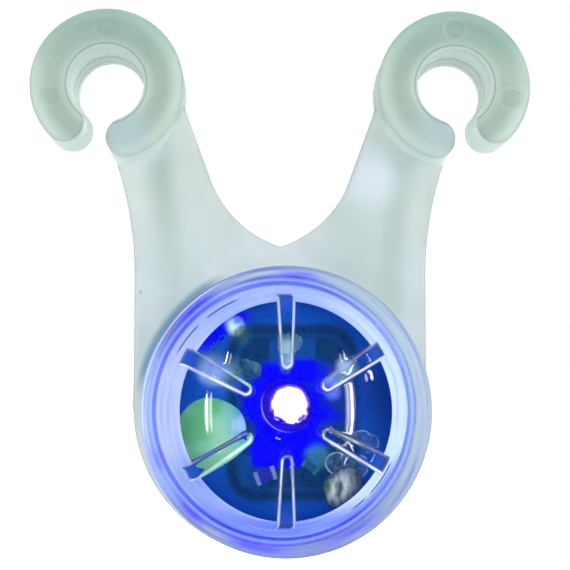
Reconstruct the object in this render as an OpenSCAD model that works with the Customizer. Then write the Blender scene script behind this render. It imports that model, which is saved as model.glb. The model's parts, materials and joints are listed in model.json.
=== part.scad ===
// Spoke wheel light: a soft V-shaped holder that hooks over two spokes and carries a press-on lamp.
// The pieces are drawn in face view (x right, y up, z out of the lens, back of the holder at z = 0)
// and then stood upright, so that the lens looks along -Y.

/* [Hooks] */
// Radius of the eye that closes round a spoke
eye_r = 3.65; // [3.4:0.05:3.9]
// Radial wall of the hook
hook_wall = 3.9; // [3.6:0.05:4.1]
// Depth of the hook, front to back
hook_depth = 7; // [6.5:0.25:8]
// Clear width of the mouth between the two tips
mouth_w = 2.35; // [2.1:0.05:2.6]
// Lean of the mouth, outward from straight down, in degrees
mouth_lean = 14; // [8:1:20]
// Half of the distance between the two eyes
eye_x = 17.2; // [16.8:0.1:17.6]
// Height of the eyes above the lamp's axis
eye_y = 31.9; // [31:0.1:33]
// Rounding of the hook's long edges
hook_round = 0.45; // [0.3:0.05:0.6]
// How far the hook's crowned front falls towards its edges
hook_crown = 0.35; // [0.2:0.05:0.5]
// Radius of the ejector pin marks on the hooks
ejector_r = 1; // [0.8:0.1:1.1]

/* [Arms] */
// Thickness of the holder's plate and arms
arm_t = 4; // [3.5:0.1:4.5]
// Half width of the plate beside the lamp
plate_half_w = 14.55; // [14.4:0.05:15]
// Radius of the curve that flares each arm outward
flank_r = 36; // [34:1:42]
// Height at which the arms begin to flare
flank_y = 13; // [12:0.5:14]
// Height of the notch between the arms, above the lamp's axis
notch_y = 16.1; // [15.6:0.1:16.6]
// Radius of each arc of the pointed arch between the arms
arch_r = 11.2; // [10.8:0.05:11.6]
// How far each arc's centre lies across the middle line
arch_lead = 3.48; // [3.2:0.02:3.8]
// Lean of the arms' straight inner edges, outward from upright, in degrees
edge_lean = 20; // [17:1:22]
// Rounding of the arms' long edges
arm_round = 0.6; // [0.4:0.1:0.9]
// Depth of the shallow channel along each arm
channel_depth = 0.45; // [0.2:0.05:0.7]

/* [Collar] */
// Outer radius of the collar at the plate
collar_r = 14.05; // [14:0.05:14.2]
// Outer radius of the collar at its rim
rim_r = 13.85; // [13.7:0.05:13.95]
// Height of the rim above the back
rim_z = 10; // [9.9:0.05:10.3]
// Radius of the opening in the lip that keeps the lamp in
lip_r = 12.3; // [12.25:0.05:12.35]
// Radius of the cup inside the collar
cup_r = 12.85; // [12.8:0.05:12.95]
// Thickness of the wall behind the lamp
back_t = 1.3; // [1.2:0.1:1.4]

/* [Lens] */
// Outer radius of the lens where it passes the lip
lens_r = 12; // [11.95:0.05:12.05]
// Wall of the lens
lens_wall = 1.55; // [1.5:0.05:1.6]
// Radius of the shallow dome
dome_r = 19.5; // [19:0.25:21]
// Height of the top of the dome above the back
dome_z = 15.2; // [15:0.1:15.6]
// Number of raised ribs on the dome
rib_count = 6; // [3:1:8]
// Height of a rib above the dome
rib_h = 0.6; // [0.3:0.05:0.8]
// Distance of a rib's inner end from the lamp's axis
rib_start = 3.9; // [3.5:0.1:5]
// Width of a rib at its inner end
rib_w_inner = 1.1; // [0.9:0.1:1.5]
// Width of a rib at its outer end
rib_w_outer = 1.9; // [1.5:0.05:2.2]
// Travel of the lens when it is pressed
press_travel = 0.5; // [0.3:0.05:0.5]

/* [Battery] */
// Radius of the coin cell
cell_r = 10; // [9.9:0.05:10]
// Thickness of the coin cell
cell_t = 3.2; // [3.1:0.05:3.2]
// Thickness of the case's floor
case_floor = 1.1; // [1:0.05:1.1]

/* [Board] */
// Radius of the circuit board
board_r = 10.3; // [10.2:0.05:10.35]
// Thickness of the circuit board
board_t = 1; // [0.8:0.1:1]
// Radius of the epoxy drop over the flasher chip
blob_r = 3; // [2.5:0.1:3]
// Diameter of the contact spring's wire
wire_d = 0.4; // [0.35:0.05:0.45]
// Whole turns of the contact spring, before its last quarter turn
coil_turns = 2; // [1:1:2]

/* [Hidden] */
$fn = 96;
eps = 0.01;
seat = 0.05;                                    // room left where two pieces lie against each other
cut = 1;                                        // how far a cutting shape runs past a face
tall = 9;                                       // a height that passes any of the lamp's pieces

// Hook ring, measured from the eye
hook_r = eye_r + hook_wall;
hook_mid_r = eye_r + hook_wall / 2;
tip_r = hook_wall / 2;
tip_half_angle = asin((mouth_w / 2 + tip_r) / hook_mid_r);
hook_sweep = 360 - 2 * tip_half_angle;
arm_tip_angle = mouth_lean - 90 - tip_half_angle;
arm_end_angle = arm_tip_angle - 12;             // where the arm ends inside the hook's ring
arm_end = [eye_x, eye_y] + hook_mid_r * [cos(arm_end_angle), sin(arm_end_angle)];
ejector_angles = [90, -14, 205];
ejector_depth = 0.25;
front_bend = 60;                                // turn of the front's long edges before the crown begins
crown_steps = 6;                                // points across half of the crowned front
arm_bite = 0.35;                                // wall of the hook between its eye and the arm's end

// Pointed arch between the arms: an arc from the notch, then a straight edge up to the hook
arch_y = notch_y + sqrt(arch_r * arch_r - arch_lead * arch_lead);
notch_angle = acos(arch_lead / arch_r);
edge_from = [arch_r * cos(edge_lean) - arch_lead, arch_y - arch_r * sin(edge_lean)];
edge_top_x = edge_from[0] + (eye_y - edge_from[1]) * tan(edge_lean);
flank_top = eye_y + hook_mid_r * sin(arm_tip_angle) - tip_r / 2;
flank_sweep = asin((flank_top - flank_y) / flank_r);
channel_r = 12;
channel_at = [10.2, 9.5];
channel_len = 17;
channel_lean = 7.8;

// Levels of the lamp's stack, from the back
case_z = back_t + seat;
cell_z = case_z + case_floor;
insulator_t = 0.3;
insulator_r = 9.4;
insulator_hole_r = 3.3;
insulator_z = cell_z + cell_t;
tip_z = insulator_z + insulator_t;              // where the switch's plunger rests
switch_h = 1.5;
plunger_out = press_travel;
switch_z = tip_z + plunger_out;
board_z = switch_z + switch_h;
board_front = board_z + board_t;
flange_t = 0.9;
flange_z = board_front - flange_t - seat;
lip_z = flange_z + flange_t + seat;
gasket_t = 0.9;
gasket_z = flange_z - gasket_t;

// Lens and case radii
window_r = lens_r - lens_wall - seat;
shoulder_r = lens_r - 0.2;                      // where the drawn-in wall meets the dome
shoulder_round = 1.2;
rib_round = 1.4;
rib_end_r = lens_r - 0.6;
skirt_r = 11.25;
skirt_z = gasket_z - 0.5;
flange_r = cup_r - 0.2;
case_r = cup_r - 0.1;
case_bore_r = skirt_r + 0.15;
pocket_r = cell_r + 0.25;
pocket_top = skirt_z - press_travel - 0.1;

// Places on the board
led_pitch = 2.54;
led_h = 4.4;
led_flange_r = 2.75;
led_flange_t = 0.7;
led_bulb_r = 2.4;
led_cap_r = 3;
blob_at = [-6.9, -1.9];
blob_h = 1.2;
resistor_at = [-1.5, -6];
resistor_turn = 20;
capacitor_at = [2.6, -5.2];
capacitor_turn = -35;
tail_at = [-3.1, 3.7];                          // hole of the contact spring's tail
joint_at = [0.9, 6.2];                          // spare plated hole above the LED
hole_r = 0.42;
contact_angle = -56;
contact_at = 9.1;                               // the side contact's tab, from the axis
contact_slot = 3.8;                             // width of the channel that lets the contact pass
tab_size = [0.25, 1.2];
tab_out = 0.6;                                  // length of the tab in front of the board
tab_slot = [0.55, 1.5];
switch_at = [4.6, 2.5];
switch_w = 4.5;
cover_t = 0.2;                                  // sheet of the switch's metal cover
stem_r = 1;                                     // the switch's button
foot_r = 1.5;
foot_t = 0.25;
foot_in = 0.35;                                 // the button's foot, in from the cover
foot_room = 1.15;                               // end of the foot's room, which lets it travel
lead_w = 0.5;
lead_out = 1;                                   // length of a lead behind the board
anvil_z = board_front + 1.5;                    // underside of the anvil that carries the LED's die
anvil_size = [1.7, 0.9, 0.7];
cup_depth = anvil_size[2] / 2;                  // reflector cup sunk in the anvil

// Contact spring
spring_top_r = 2.7;
spring_end_r = 1.5;
spring_at = tail_at - spring_top_r * [cos(45), sin(45)];
spring_turns = coil_turns + 0.25;
spring_steps = 8 * spring_turns;

function arc_points(centre, r, from, to, steps) =
    [for (i = [0:steps]) let (a = from + (to - from) * i / steps) centre + r * [cos(a), sin(a)]];

function rounded_rect(x0, x1, y0, y1, r, steps = 5) = concat(
    arc_points([x1 - r, y0 + r], r, -90, 0, steps), arc_points([x1 - r, y1 - r], r, 0, 90, steps),
    arc_points([x0 + r, y1 - r], r, 90, 180, steps), arc_points([x0 + r, y0 + r], r, 180, 270, steps));

function mirrored(points) = [for (i = [len(points) - 1:-1:0]) [-points[i][0], points[i][1]]];

// Stands the face view upright, with the lens towards -Y
module upright() {
    rotate([90, 0, 0]) children();
}

module both_sides() {
    children();
    mirror([1, 0, 0]) children();
}

module disc(r, z0, z1) {
    translate([0, 0, z0]) cylinder(r = r, h = z1 - z0);
}

module ring(r_in, r_out, z0, z1) {
    difference() {
        disc(r_out, z0, z1);
        disc(r_in, z0 - cut, z1 + cut);
    }
}

module block(size, z0) {
    translate([-size[0] / 2, -size[1] / 2, z0]) cube(size);
}

// Holder

// Outer half of the hook's cross-section, from its middle line: rounded edges and a crowned front
function hook_half() = concat(
    arc_points([tip_r - hook_round, hook_round], hook_round, -90, 0, 3),
    arc_points([tip_r - hook_round, hook_depth - hook_crown - hook_round], hook_round, 0, front_bend, 3),
    [for (i = [crown_steps - 1:-1:1])
        [tip_r * i / crown_steps, hook_depth - hook_crown * pow((i - 1) / (crown_steps - 1), 2)]]);

// One C-shaped hook at its eye, with the mouth leaning outward and round tips
module hook() {
    crest = [[0, hook_depth]];
    difference() {
        rotate(mouth_lean - 90) union() {
            rotate(tip_half_angle) rotate_extrude(angle = hook_sweep)
                translate([hook_mid_r, 0]) polygon(concat(hook_half(), crest, mirrored(hook_half())));
            for (side = [-1, 1])
                rotate(side * tip_half_angle) translate([hook_mid_r, 0, 0]) rotate(90 + side * 90)
                    rotate_extrude(angle = 180) polygon(concat([[0, 0]], hook_half(), crest));
        }
        for (a = ejector_angles)
            rotate(a) translate([hook_mid_r, 0, hook_depth - ejector_depth])
                cylinder(r = ejector_r, h = cut, $fn = 48);
    }
}

module arms_outline() {
    right = concat(
        [[plate_half_w, 0]],
        arc_points([plate_half_w + flank_r, flank_y], flank_r, 180, 180 - flank_sweep, 6),
        [arm_end, [eye_x, eye_y], [edge_top_x, eye_y]],
        arc_points([-arch_lead, arch_y], arch_r, -edge_lean, -notch_angle, 10));
    difference() {
        polygon(concat(right, mirrored(right)));
        for (side = [-1, 1])
            translate([side * eye_x, eye_y]) circle(r = eye_r + arm_bite, $fn = 48);
    }
}

// Plate and arms with rounded edges and a shallow channel down the middle of each arm
module arms() {
    difference() {
        translate([0, 0, arm_round]) minkowski() {
            linear_extrude(arm_t - 2 * arm_round) offset(delta = -arm_round) arms_outline();
            rotate_extrude($fn = 12) polygon(concat([[0, 0]], arc_points([0, 0], arm_round, -90, 90, 6)));
        }
        both_sides() translate(concat(channel_at, arm_t + channel_r - channel_depth))
            rotate([-90, 0, -channel_lean]) cylinder(r = channel_r, h = channel_len);
    }
}

module collar() {
    lip_round = 0.6;
    foot_bend = 55;
    foot_z = arm_t + 0.1;
    edge_x = plate_half_w - arm_round;
    profile = concat(
        [[0, 0]],
        arc_points([edge_x, arm_round], arm_round, -90, 0, 4),
        arc_points([edge_x, arm_t - arm_round], arm_round, 0, foot_bend, 3),
        [[collar_r, foot_z]],
        arc_points([rim_r - lip_round, rim_z - lip_round], lip_round, 0, 90, 6),
        [[0, rim_z]]);
    rotate_extrude() polygon(profile);
}

module cup_space() {
    chamfer = 0.3;
    rotate_extrude() polygon([[0, back_t], [cup_r, back_t], [cup_r, lip_z], [lip_r, lip_z],
        [lip_r, rim_z - chamfer], [lip_r + chamfer, rim_z + eps], [0, rim_z + eps]]);
}

// Translucent one-piece moulding: plate, arms, hooks and the collar round the lamp
module holder() {
    color("#cfdcd7") upright() difference() {
        union() {
            arms();
            collar();
            both_sides() translate([eye_x, eye_y, 0]) hook();
        }
        cup_space();
    }
}

// Lamp body that stays in the cup

// Round tub for the cell, with a channel for the side contact and a pry notch
module battery_case() {
    slot_lap = 0.5;
    slot_depth = 1.2;
    pry_r = 2.8;
    pry_at = cell_r - 1.6;
    pry_z = cell_z + 1;
    color("#eef0f2") upright() difference() {
        disc(case_r, case_z, gasket_z);
        disc(pocket_r, cell_z, gasket_z + cut);
        disc(case_bore_r, pocket_top, gasket_z + cut);
        rotate(contact_angle) translate([pocket_r - slot_lap, -contact_slot / 2, cell_z])
            cube([slot_depth, contact_slot, tall]);
        rotate(contact_angle + 180) translate([pry_at, 0, pry_z]) cylinder(r = pry_r, h = tall);
    }
}

// Coin cell: crimped can, recessed sealing ring and the smaller cap facing the board
module coin_cell() {
    edge = 0.35;
    can_z = cell_t - 0.35;
    seal_z = cell_t - 0.6;
    seal_r = 8.95;
    cap_foot_r = 8.7;
    cap_r = 8.5;
    color("#c9ccd0") upright() translate([0, 0, cell_z]) rotate_extrude() polygon(concat(
        [[0, 0]],
        arc_points([cell_r - edge, edge], edge, -90, 0, 5),
        arc_points([cell_r - edge, can_z - edge], edge, 0, 90, 5),
        [[seal_r, can_z], [seal_r, seal_z], [cap_foot_r, seal_z], [cap_r, cell_t], [0, cell_t]]));
}

// Thin washer between the cell and the solder side of the board
module cell_insulator() {
    color("#3c6f78") upright() difference() {
        disc(insulator_r, insulator_z, tip_z);
        translate(spring_at) disc(insulator_hole_r, insulator_z - cut, tip_z + cut);
    }
}

// Soft ring between the case and the lens flange
module seal_gasket() {
    color("#e4e6e8") upright() ring(case_bore_r, flange_r - 2 * seat, gasket_z, flange_z);
}

// Lens

module dome_shape(r, cap_r, wall_r, round) {
    centre_z = dome_z - dome_r;
    corner = [wall_r - round, centre_z + sqrt(pow(cap_r - round, 2) - pow(wall_r - round, 2))];
    leave = 50;
    last = corner + round * [cos(leave), sin(leave)];
    intersection() {
        translate([0, centre_z]) circle(r = cap_r);
        polygon(concat([[0, flange_z], [r, flange_z], [r, flange_z + flange_t]],
            arc_points(corner, round, 0, leave, 5), [[0, last[1] + last[0] / tan(leave)]]));
    }
}

module rib() {
    inner = rib_w_inner / 2;
    outer = rib_w_outer / 2;
    linear_extrude(dome_z + 2 * cut)
        polygon(concat(arc_points([rib_start + inner, 0], inner, 90, 270, 8),
            [[lens_r + cut, -outer], [lens_r + cut, outer]]));
}

// Clear cap: dome with radial ribs, side wall, flange under the lip and a skirt that slides in the case
module lens() {
    centre_z = dome_z - dome_r;
    pad_w = 1.6;
    pad_t = 0.6;
    pad_h = 1.2;
    pad_root = 0.2;
    pad_angles = [60, 140, 255];
    color("#e8eefc") upright() union() {
        difference() {
            union() {
                rotate_extrude() dome_shape(lens_r, dome_r, shoulder_r, shoulder_round);
                intersection() {
                    rotate_extrude() dome_shape(lens_r, dome_r + rib_h, rib_end_r, rib_round);
                    for (i = [0:rib_count - 1]) rotate(90 + 360 * i / rib_count) rib();
                }
                disc(flange_r, flange_z, flange_z + flange_t);
                disc(skirt_r, skirt_z, flange_z + flange_t);
            }
            rotate_extrude() intersection() {
                translate([0, centre_z]) circle(r = dome_r - lens_wall);
                square([window_r, dome_z]);
            }
        }
        for (a = pad_angles) intersection() {
            ring(window_r - pad_t, window_r + pad_root, board_front, board_front + pad_h);
            rotate(a) translate([0, -pad_w / 2, 0]) cube([lens_r, pad_w, dome_z]);
        }
    }
}

// Snap ring that holds the board against the lens pads
module board_clip_ring() {
    clip_r = 9.4;
    clip_t = 0.8;
    gap_from = 8;
    gap_len = 4;
    color("#e6e9ee") upright() difference() {
        ring(clip_r, window_r - seat, board_z - clip_t, board_z);
        rotate(contact_angle) translate([gap_from, -contact_slot / 2, 0])
            cube([gap_len, contact_slot, board_front]);
    }
}

// Circuit

module plated_hole(at) {
    translate(at) disc(hole_r, board_z - cut, board_front + cut);
}

module at_contact() {
    rotate(contact_angle) translate([contact_at, 0, 0]) children();
}

module board() {
    color("#0b3f86") upright() difference() {
        disc(board_r, board_z, board_front);
        for (side = [-1, 1]) plated_hole([side * led_pitch / 2, 0]);
        plated_hole(tail_at);
        plated_hole(joint_at);
        at_contact() block(concat(tab_slot, tall), board_z - cut);
    }
}

// Lead frame of the LED: a post and an anvil with a reflector cup
module lead_frame() {
    lead_z = board_z - lead_out;
    post_lap = 0.2;
    anvil_off = -0.45;
    cup_floor_r = 0.25;
    cup_rim_r = 0.38;
    for (side = [-1, 1]) translate([side * led_pitch / 2, 0])
        block([lead_w, lead_w, anvil_z + post_lap - lead_z], lead_z);
    difference() {
        translate([anvil_off, 0]) block(anvil_size, anvil_z);
        translate([0, 0, anvil_z + cup_depth])
            cylinder(r1 = cup_floor_r, r2 = cup_rim_r, h = cup_depth + eps, $fn = 32);
    }
}

module led_chip() {
    die_size = [0.3, 0.3, 0.14];
    block(die_size, anvil_z + cup_depth);
}

// Wide-angle LED: flange with its flat, short barrel and shallow round top, cast round the lead frame
module led_body() {
    flat_in = 0.3;
    flat_w = 6;
    color("#2f5bff") upright() difference() {
        translate([0, 0, board_front]) rotate_extrude() {
            square([led_flange_r, led_flange_t]);
            intersection() {
                translate([0, led_h - led_cap_r]) circle(r = led_cap_r);
                square([led_bulb_r, led_h]);
            }
        }
        translate([flat_in - led_flange_r - flat_w / 2, 0]) block([flat_w, tall, led_h], board_front - cut);
        lead_frame();
        led_chip();
    }
}

module led_leads() {
    color("silver") upright() lead_frame();
}

module led_die() {
    color("#ffffff") upright() led_chip();
}

// Round drop of epoxy over the bare flasher chip
module chip_blob() {
    ball_r = (blob_r * blob_r + blob_h * blob_h) / (2 * blob_h);
    color("#2f9a68") upright() intersection() {
        translate([blob_at[0], blob_at[1], board_front + blob_h - ball_r]) sphere(r = ball_r);
        translate(blob_at) disc(blob_r + cut, board_front, board_front + 2 * cut);
    }
}

// Surface-mount part: a ceramic body between two metal end caps
module chip_part(length, width, height) {
    cap = length / 5;
    inset = 0.04;
    union() {
        block([length - 2 * cap, width - 2 * inset, height - inset], board_front);
        for (side = [-1, 1])
            translate([side * (length - cap) / 2, 0]) block([cap, width, height], board_front);
    }
}

module chip_resistor() {
    color("#dfe3ee") upright() translate(resistor_at) rotate(resistor_turn)
        chip_part(length = 2, width = 1.25, height = 0.55);
}

module chip_capacitor() {
    color("#8f7a5c") upright() translate(capacitor_at) rotate(capacitor_turn)
        chip_part(length = 1.6, width = 0.8, height = 0.7);
}

module contact_tab() {
    at_contact() block(concat(tab_size, board_front + tab_out - board_z), board_z);
}

// Mound of solder on the front of the board, given by its foot, its top and its height
module mound(foot_r, top_r, height) {
    translate([0, 0, board_front]) cylinder(r1 = foot_r, r2 = top_r, h = height, $fn = 48);
}

// Solder: cones on the LED leads behind the board, mounds on the front
module solder_joints() {
    cone_h = 0.7;
    cone_foot_r = 0.85;
    cone_tip_r = 0.4;
    wire_gap = 0.08;
    lumps = [[-0.2, -0.5, -0.5], [-0.4, 0.8, -0.6]];
    lump_r = [1.55, 1.4];
    color("#d7dade") upright() {
        for (side = [-1, 1]) translate([side * led_pitch / 2, 0]) difference() {
            translate([0, 0, board_z - cone_h])
                cylinder(r1 = cone_tip_r, r2 = cone_foot_r, h = cone_h, $fn = 32);
            block([lead_w, lead_w, tall], 0);
        }
        translate(tail_at) difference() {
            mound(foot_r = 1.15, top_r = 0.6, height = 0.5);
            disc(wire_d / 2 + wire_gap, board_front - cut, board_front + 2 * cut);
        }
        translate(joint_at) mound(foot_r = 1, top_r = 0.5, height = 0.4);
        difference() {
            at_contact() intersection() {
                translate([0, 0, board_front])
                    for (i = [0, 1]) translate(lumps[i]) sphere(r = lump_r[i]);
                block([tall, tall, tall], board_front);
            }
            contact_tab();
        }
    }
}

// Springy strip beside the cell: foot under the board, leg along the can, tab through the board
module side_contact() {
    leg_x = cell_r + 0.06;
    leg_w = 2.6;
    leg_t = 0.2;
    leg_end = cell_z + 1.2;
    foot_x = contact_at - 0.6;
    color("#cfd2d4") upright() union() {
        contact_tab();
        rotate(contact_angle) translate([0, -leg_w / 2, 0]) {
            translate([foot_x, 0, board_z - leg_t]) cube([leg_x + leg_t - foot_x, leg_w, leg_t]);
            translate([leg_x, 0, leg_end]) cube([leg_t, leg_w, board_z - leg_end]);
        }
    }
}

// Path of the contact spring: the straight tail, then a narrowing helix down to the cell
wire_room = 0.03;
tail_out = 0.45;
spring_top_z = board_z - wire_d / 2 - wire_room;
spring_end_z = insulator_z + wire_d / 2 + wire_room;
function spring_path() = concat(
    [for (z = [board_front + tail_out, board_z]) [spring_top_r, 0, z]],
    [for (i = [1:spring_steps])
        let (t = i / spring_steps, r = spring_top_r + (spring_end_r - spring_top_r) * t)
        [r * cos(360 * spring_turns * t), r * sin(360 * spring_turns * t),
         spring_top_z + (spring_end_z - spring_top_z) * t]]);

function unit(v) = v / norm(v);

// Rings of six points square to the path, kept upright by the direction away from the coil's axis
function spring_rings(path) = [for (i = [0:len(path) - 1])
    let (along = unit(path[min(i + 1, len(path) - 1)] - path[max(i - 1, 0)]),
         away = unit([path[i][0], path[i][1], 0]),
         side = unit(away - (away * along) * along),
         up = cross(along, side))
    for (k = [0:5]) path[i] + wire_d / 2 * (cos(60 * k) * side + sin(60 * k) * up)];

module contact_spring() {
    path = spring_path();
    count = len(path);
    walls = [for (i = [0:count - 2], k = [0:5]) let (a = 6 * i + k, b = 6 * i + (k + 1) % 6)
        each [[a, b, b + 6], [a, b + 6, a + 6]]];
    caps = [for (k = [1:4]) each [[0, k + 1, k], [6 * count - 6, 6 * count - 6 + k, 6 * count - 5 + k]]];
    color("#d9d9d2") upright() translate(spring_at) rotate(45)
        polyhedron(points = spring_rings(path), faces = concat(walls, caps));
}

// Least clear gap between one turn of the spring and the next
spring_points = spring_path();
echo(spring_gap = min([for (i = [2:len(spring_points) - 1], j = [2:len(spring_points) - 1])
    if (j - i > 5) norm(spring_points[i] - spring_points[j])]) - wire_d);

// Switch behind the board

// Room in the switch for the button's stem and for its wider foot
module switch_space() {
    disc(stem_r + seat, switch_z - cut, switch_z + cut);
    disc(foot_r + 2 * seat, switch_z + foot_in - seat, switch_z + foot_room);
}

module switch_body() {
    color("#202226") upright() translate(switch_at) difference() {
        block([switch_w, switch_w, switch_h - cover_t], switch_z + cover_t);
        switch_space();
    }
}

// Thin metal frame with two folded sides
module switch_cover() {
    lap = 0.15;
    fold_h = 1;
    color("#c4c7ca") upright() translate(switch_at) difference() {
        block([switch_w, switch_w + 2 * lap, fold_h], switch_z);
        block([switch_w + cut, switch_w, switch_h], switch_z + cover_t);
        switch_space();
    }
}

module switch_terminals() {
    pin = [0.8, 0.7, 0.2];
    pitch = 3;
    color("silver") upright() translate(switch_at)
        for (x = [-1, 1], y = [-1, 1])
            translate([x * (switch_w + pin[0]) / 2, y * pitch / 2]) block(pin, board_z - pin[2]);
}

// Button of the switch, held against the insulator by the spring in the switch
module switch_plunger() {
    color("#b8322c") upright() translate(switch_at) {
        disc(stem_r, tip_z, switch_z + foot_in + seat);
        disc(foot_r, switch_z + foot_in, switch_z + foot_in + foot_t);
    }
}

holder();
battery_case();
coin_cell();
cell_insulator();
seal_gasket();
lens();
board_clip_ring();
board();
led_body();
led_leads();
led_die();
chip_blob();
chip_resistor();
chip_capacitor();
solder_joints();
side_contact();
contact_spring();
switch_body();
switch_cover();
switch_terminals();
switch_plunger();
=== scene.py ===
# %% [markdown]
# # Spoke wheel light
# A soft translucent holder hooks over two wheel spokes and carries a round lamp. The solid model comes
# in first, as a fixed frame: every piece made here is put where that frame says, in metres, with +Z up
# and the lens looking along -Y.

# %% Load the frame
import json
import math

import bpy
import numpy as np
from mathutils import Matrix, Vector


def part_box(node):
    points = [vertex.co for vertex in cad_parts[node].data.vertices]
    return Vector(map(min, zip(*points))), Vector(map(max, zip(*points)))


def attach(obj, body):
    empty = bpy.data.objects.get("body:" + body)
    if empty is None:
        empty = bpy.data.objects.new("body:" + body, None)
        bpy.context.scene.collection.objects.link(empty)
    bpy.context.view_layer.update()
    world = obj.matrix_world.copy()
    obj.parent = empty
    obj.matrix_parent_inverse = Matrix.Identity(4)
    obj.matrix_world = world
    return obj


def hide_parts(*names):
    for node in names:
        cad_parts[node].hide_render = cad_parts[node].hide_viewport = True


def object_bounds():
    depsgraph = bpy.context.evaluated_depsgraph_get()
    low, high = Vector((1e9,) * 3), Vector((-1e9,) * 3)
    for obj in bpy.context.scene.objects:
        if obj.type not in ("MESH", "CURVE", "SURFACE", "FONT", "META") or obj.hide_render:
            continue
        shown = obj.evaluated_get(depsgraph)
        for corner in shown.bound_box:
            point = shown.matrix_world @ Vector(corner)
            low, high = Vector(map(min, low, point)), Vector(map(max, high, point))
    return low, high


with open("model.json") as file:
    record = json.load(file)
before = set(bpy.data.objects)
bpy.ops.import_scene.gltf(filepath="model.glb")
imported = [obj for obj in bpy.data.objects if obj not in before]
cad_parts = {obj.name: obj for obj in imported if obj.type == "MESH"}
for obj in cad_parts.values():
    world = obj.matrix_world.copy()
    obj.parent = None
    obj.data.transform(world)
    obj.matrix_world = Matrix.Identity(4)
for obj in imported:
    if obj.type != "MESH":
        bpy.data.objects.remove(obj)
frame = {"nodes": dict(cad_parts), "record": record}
cad_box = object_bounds()
nodes = frame["nodes"]
print("nodes in the frame:", len(nodes))

# %% [markdown]
# ## Sizes
# Shapes are worked out in millimetres in a face view: x to the right, y up, z out of the lens, with the
# holder's flat back at z = 0. The sizes are read from the solid model's boxes and mounts, so a change there
# reaches this file by itself. Only what no box can tell is written as a number.

# %% Read the sizes from the frame
MM = 0.001


def face_box(node):
    """Box of a solid in the face view: (x, y, z) low and high, in millimetres."""
    low, high = (np.array(corner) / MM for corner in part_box(node))
    return np.array((low[0], low[2], -high[1])), np.array((high[0], high[2], -low[1]))


def middle(node):
    """Middle of a solid on the lamp's face."""
    low, high = face_box(node)
    return (low + high)[:2] / 2


def upright(points):
    """Turns face-view millimetres (x, y, z) into the frame's metres (x, -z, y)."""
    points = np.asarray(points, dtype=float)
    return np.stack((points[..., 0], -points[..., 2], points[..., 1]), axis=-1) * MM


mounts = {mount["name"]: mount for mount in frame["record"]["mounts"]}
eye_x = mounts["right_hook"]["pos_m"][0] / MM
eye_y = mounts["right_hook"]["pos_m"][2] / MM
eye_r = mounts["right_hook"]["dims"]["r_mm"]

holder_low, holder_high = face_box("holder")
hook_r = holder_high[1] - eye_y
plate_half_w = -holder_low[1]
rim_z = holder_high[2]
board_low, board_high = face_box("board")
board_back = board_low[2]
board_front = board_high[2]
lens_low, lens_high = face_box("lens")
print("hook outer radius", round(hook_r, 2), "plate half width", round(plate_half_w, 2))

# %% [markdown]
# ## Helpers for meshes
# Every new piece is an array of points first. A row of rings becomes a skin when each ring is joined to
# the next one, and a ring that shrinks to a point at either end closes it.

# %% Pieces and skins


def new_piece(name, points, faces, sharp_deg=35.0):
    """Makes a mesh object at the origin from face-view points and lists of corners, smooth below an angle."""
    mesh = bpy.data.meshes.new(name)
    mesh.from_pydata(upright(points).tolist(), [], faces)
    mesh.validate()
    mesh.shade_smooth()
    mesh.set_sharp_from_angle(angle=math.radians(sharp_deg))
    piece = bpy.data.objects.new(name, mesh)
    bpy.context.scene.collection.objects.link(piece)
    print(name, "has", len(mesh.vertices), "points and", len(mesh.polygons), "faces")
    return piece


def ring_skin(rings, first=0):
    """Points and faces of a skin through rings (ring, around, xyz), closed to a point at both ends; first is
    the number that its first point has in the mesh."""
    count, around = rings.shape[:2]
    points = np.concatenate((rings.reshape(-1, 3), rings[:1].mean(axis=1), rings[-1:].mean(axis=1)))
    index = first + np.arange(count * around).reshape(count, around)
    tip = np.full(around, first + count * around)
    ahead = np.roll(index, -1, axis=1)
    quads = np.stack((index[:-1], ahead[:-1], ahead[1:], index[1:]), axis=-1).reshape(-1, 4)
    start = np.stack((ahead[0], index[0], tip), axis=-1)
    end = np.stack((index[-1], ahead[-1], tip + 1), axis=-1)
    return points, quads.tolist() + start.tolist() + end.tolist()


# %% Outlines and lathe shapes


def arc(centre, r, start_deg, end_deg, count):
    """Points of a circular arc as (count, 2): centre plus r times the cosine and sine of even angles."""
    angle = np.radians(np.linspace(start_deg, end_deg, count))
    return np.stack((centre[0] + r * np.cos(angle), centre[1] + r * np.sin(angle)), axis=-1)


def rounded_path(corners, radii, steps=5):
    """Open outline through corners, each cut back by its radius and bridged by a quadratic curve."""
    corners = np.asarray(corners, dtype=float)
    path = [corners[:1]]
    t = np.linspace(0, 1, steps)[:, None]
    for before, corner, after, r in zip(corners[:-2], corners[1:-1], corners[2:], radii):
        first = corner + (before - corner) * r / np.linalg.norm(before - corner)
        last = corner + (after - corner) * r / np.linalg.norm(after - corner)
        path.append((1 - t) ** 2 * first + 2 * t * (1 - t) * corner + t ** 2 * last)
    return np.concatenate(path + [corners[-1:]])


def revolve(path, around, centre=(0.0, 0.0)):
    """Rings of a lathe shape: each (radius, height) of the path turned round an axis along z."""
    angle = np.arange(around) * 2 * np.pi / around
    x = centre[0] + path[:, :1] * np.cos(angle)
    y = centre[1] + path[:, :1] * np.sin(angle)
    return np.stack((x, y, np.broadcast_to(path[:, 1:], x.shape)), axis=-1)


def share_between(value, start, end):
    """Share of the way from start to end, held between 0 and 1."""
    return np.clip((value - start) / (end - start), 0, 1)


# %% [markdown]
# ## Holder
# The holder is one soft moulding: a V-shaped plate, two C-shaped hooks and the collar round the lamp. Its
# parts run into each other with soft fillets. Separate grids would leave creases where they cross, so it is
# written as a distance field instead: a formula that gives, for any point, how far it is from the skin. Two
# fields join by taking the smaller one, and a soft minimum makes the fillet by itself.

# %% Joining distances


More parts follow.
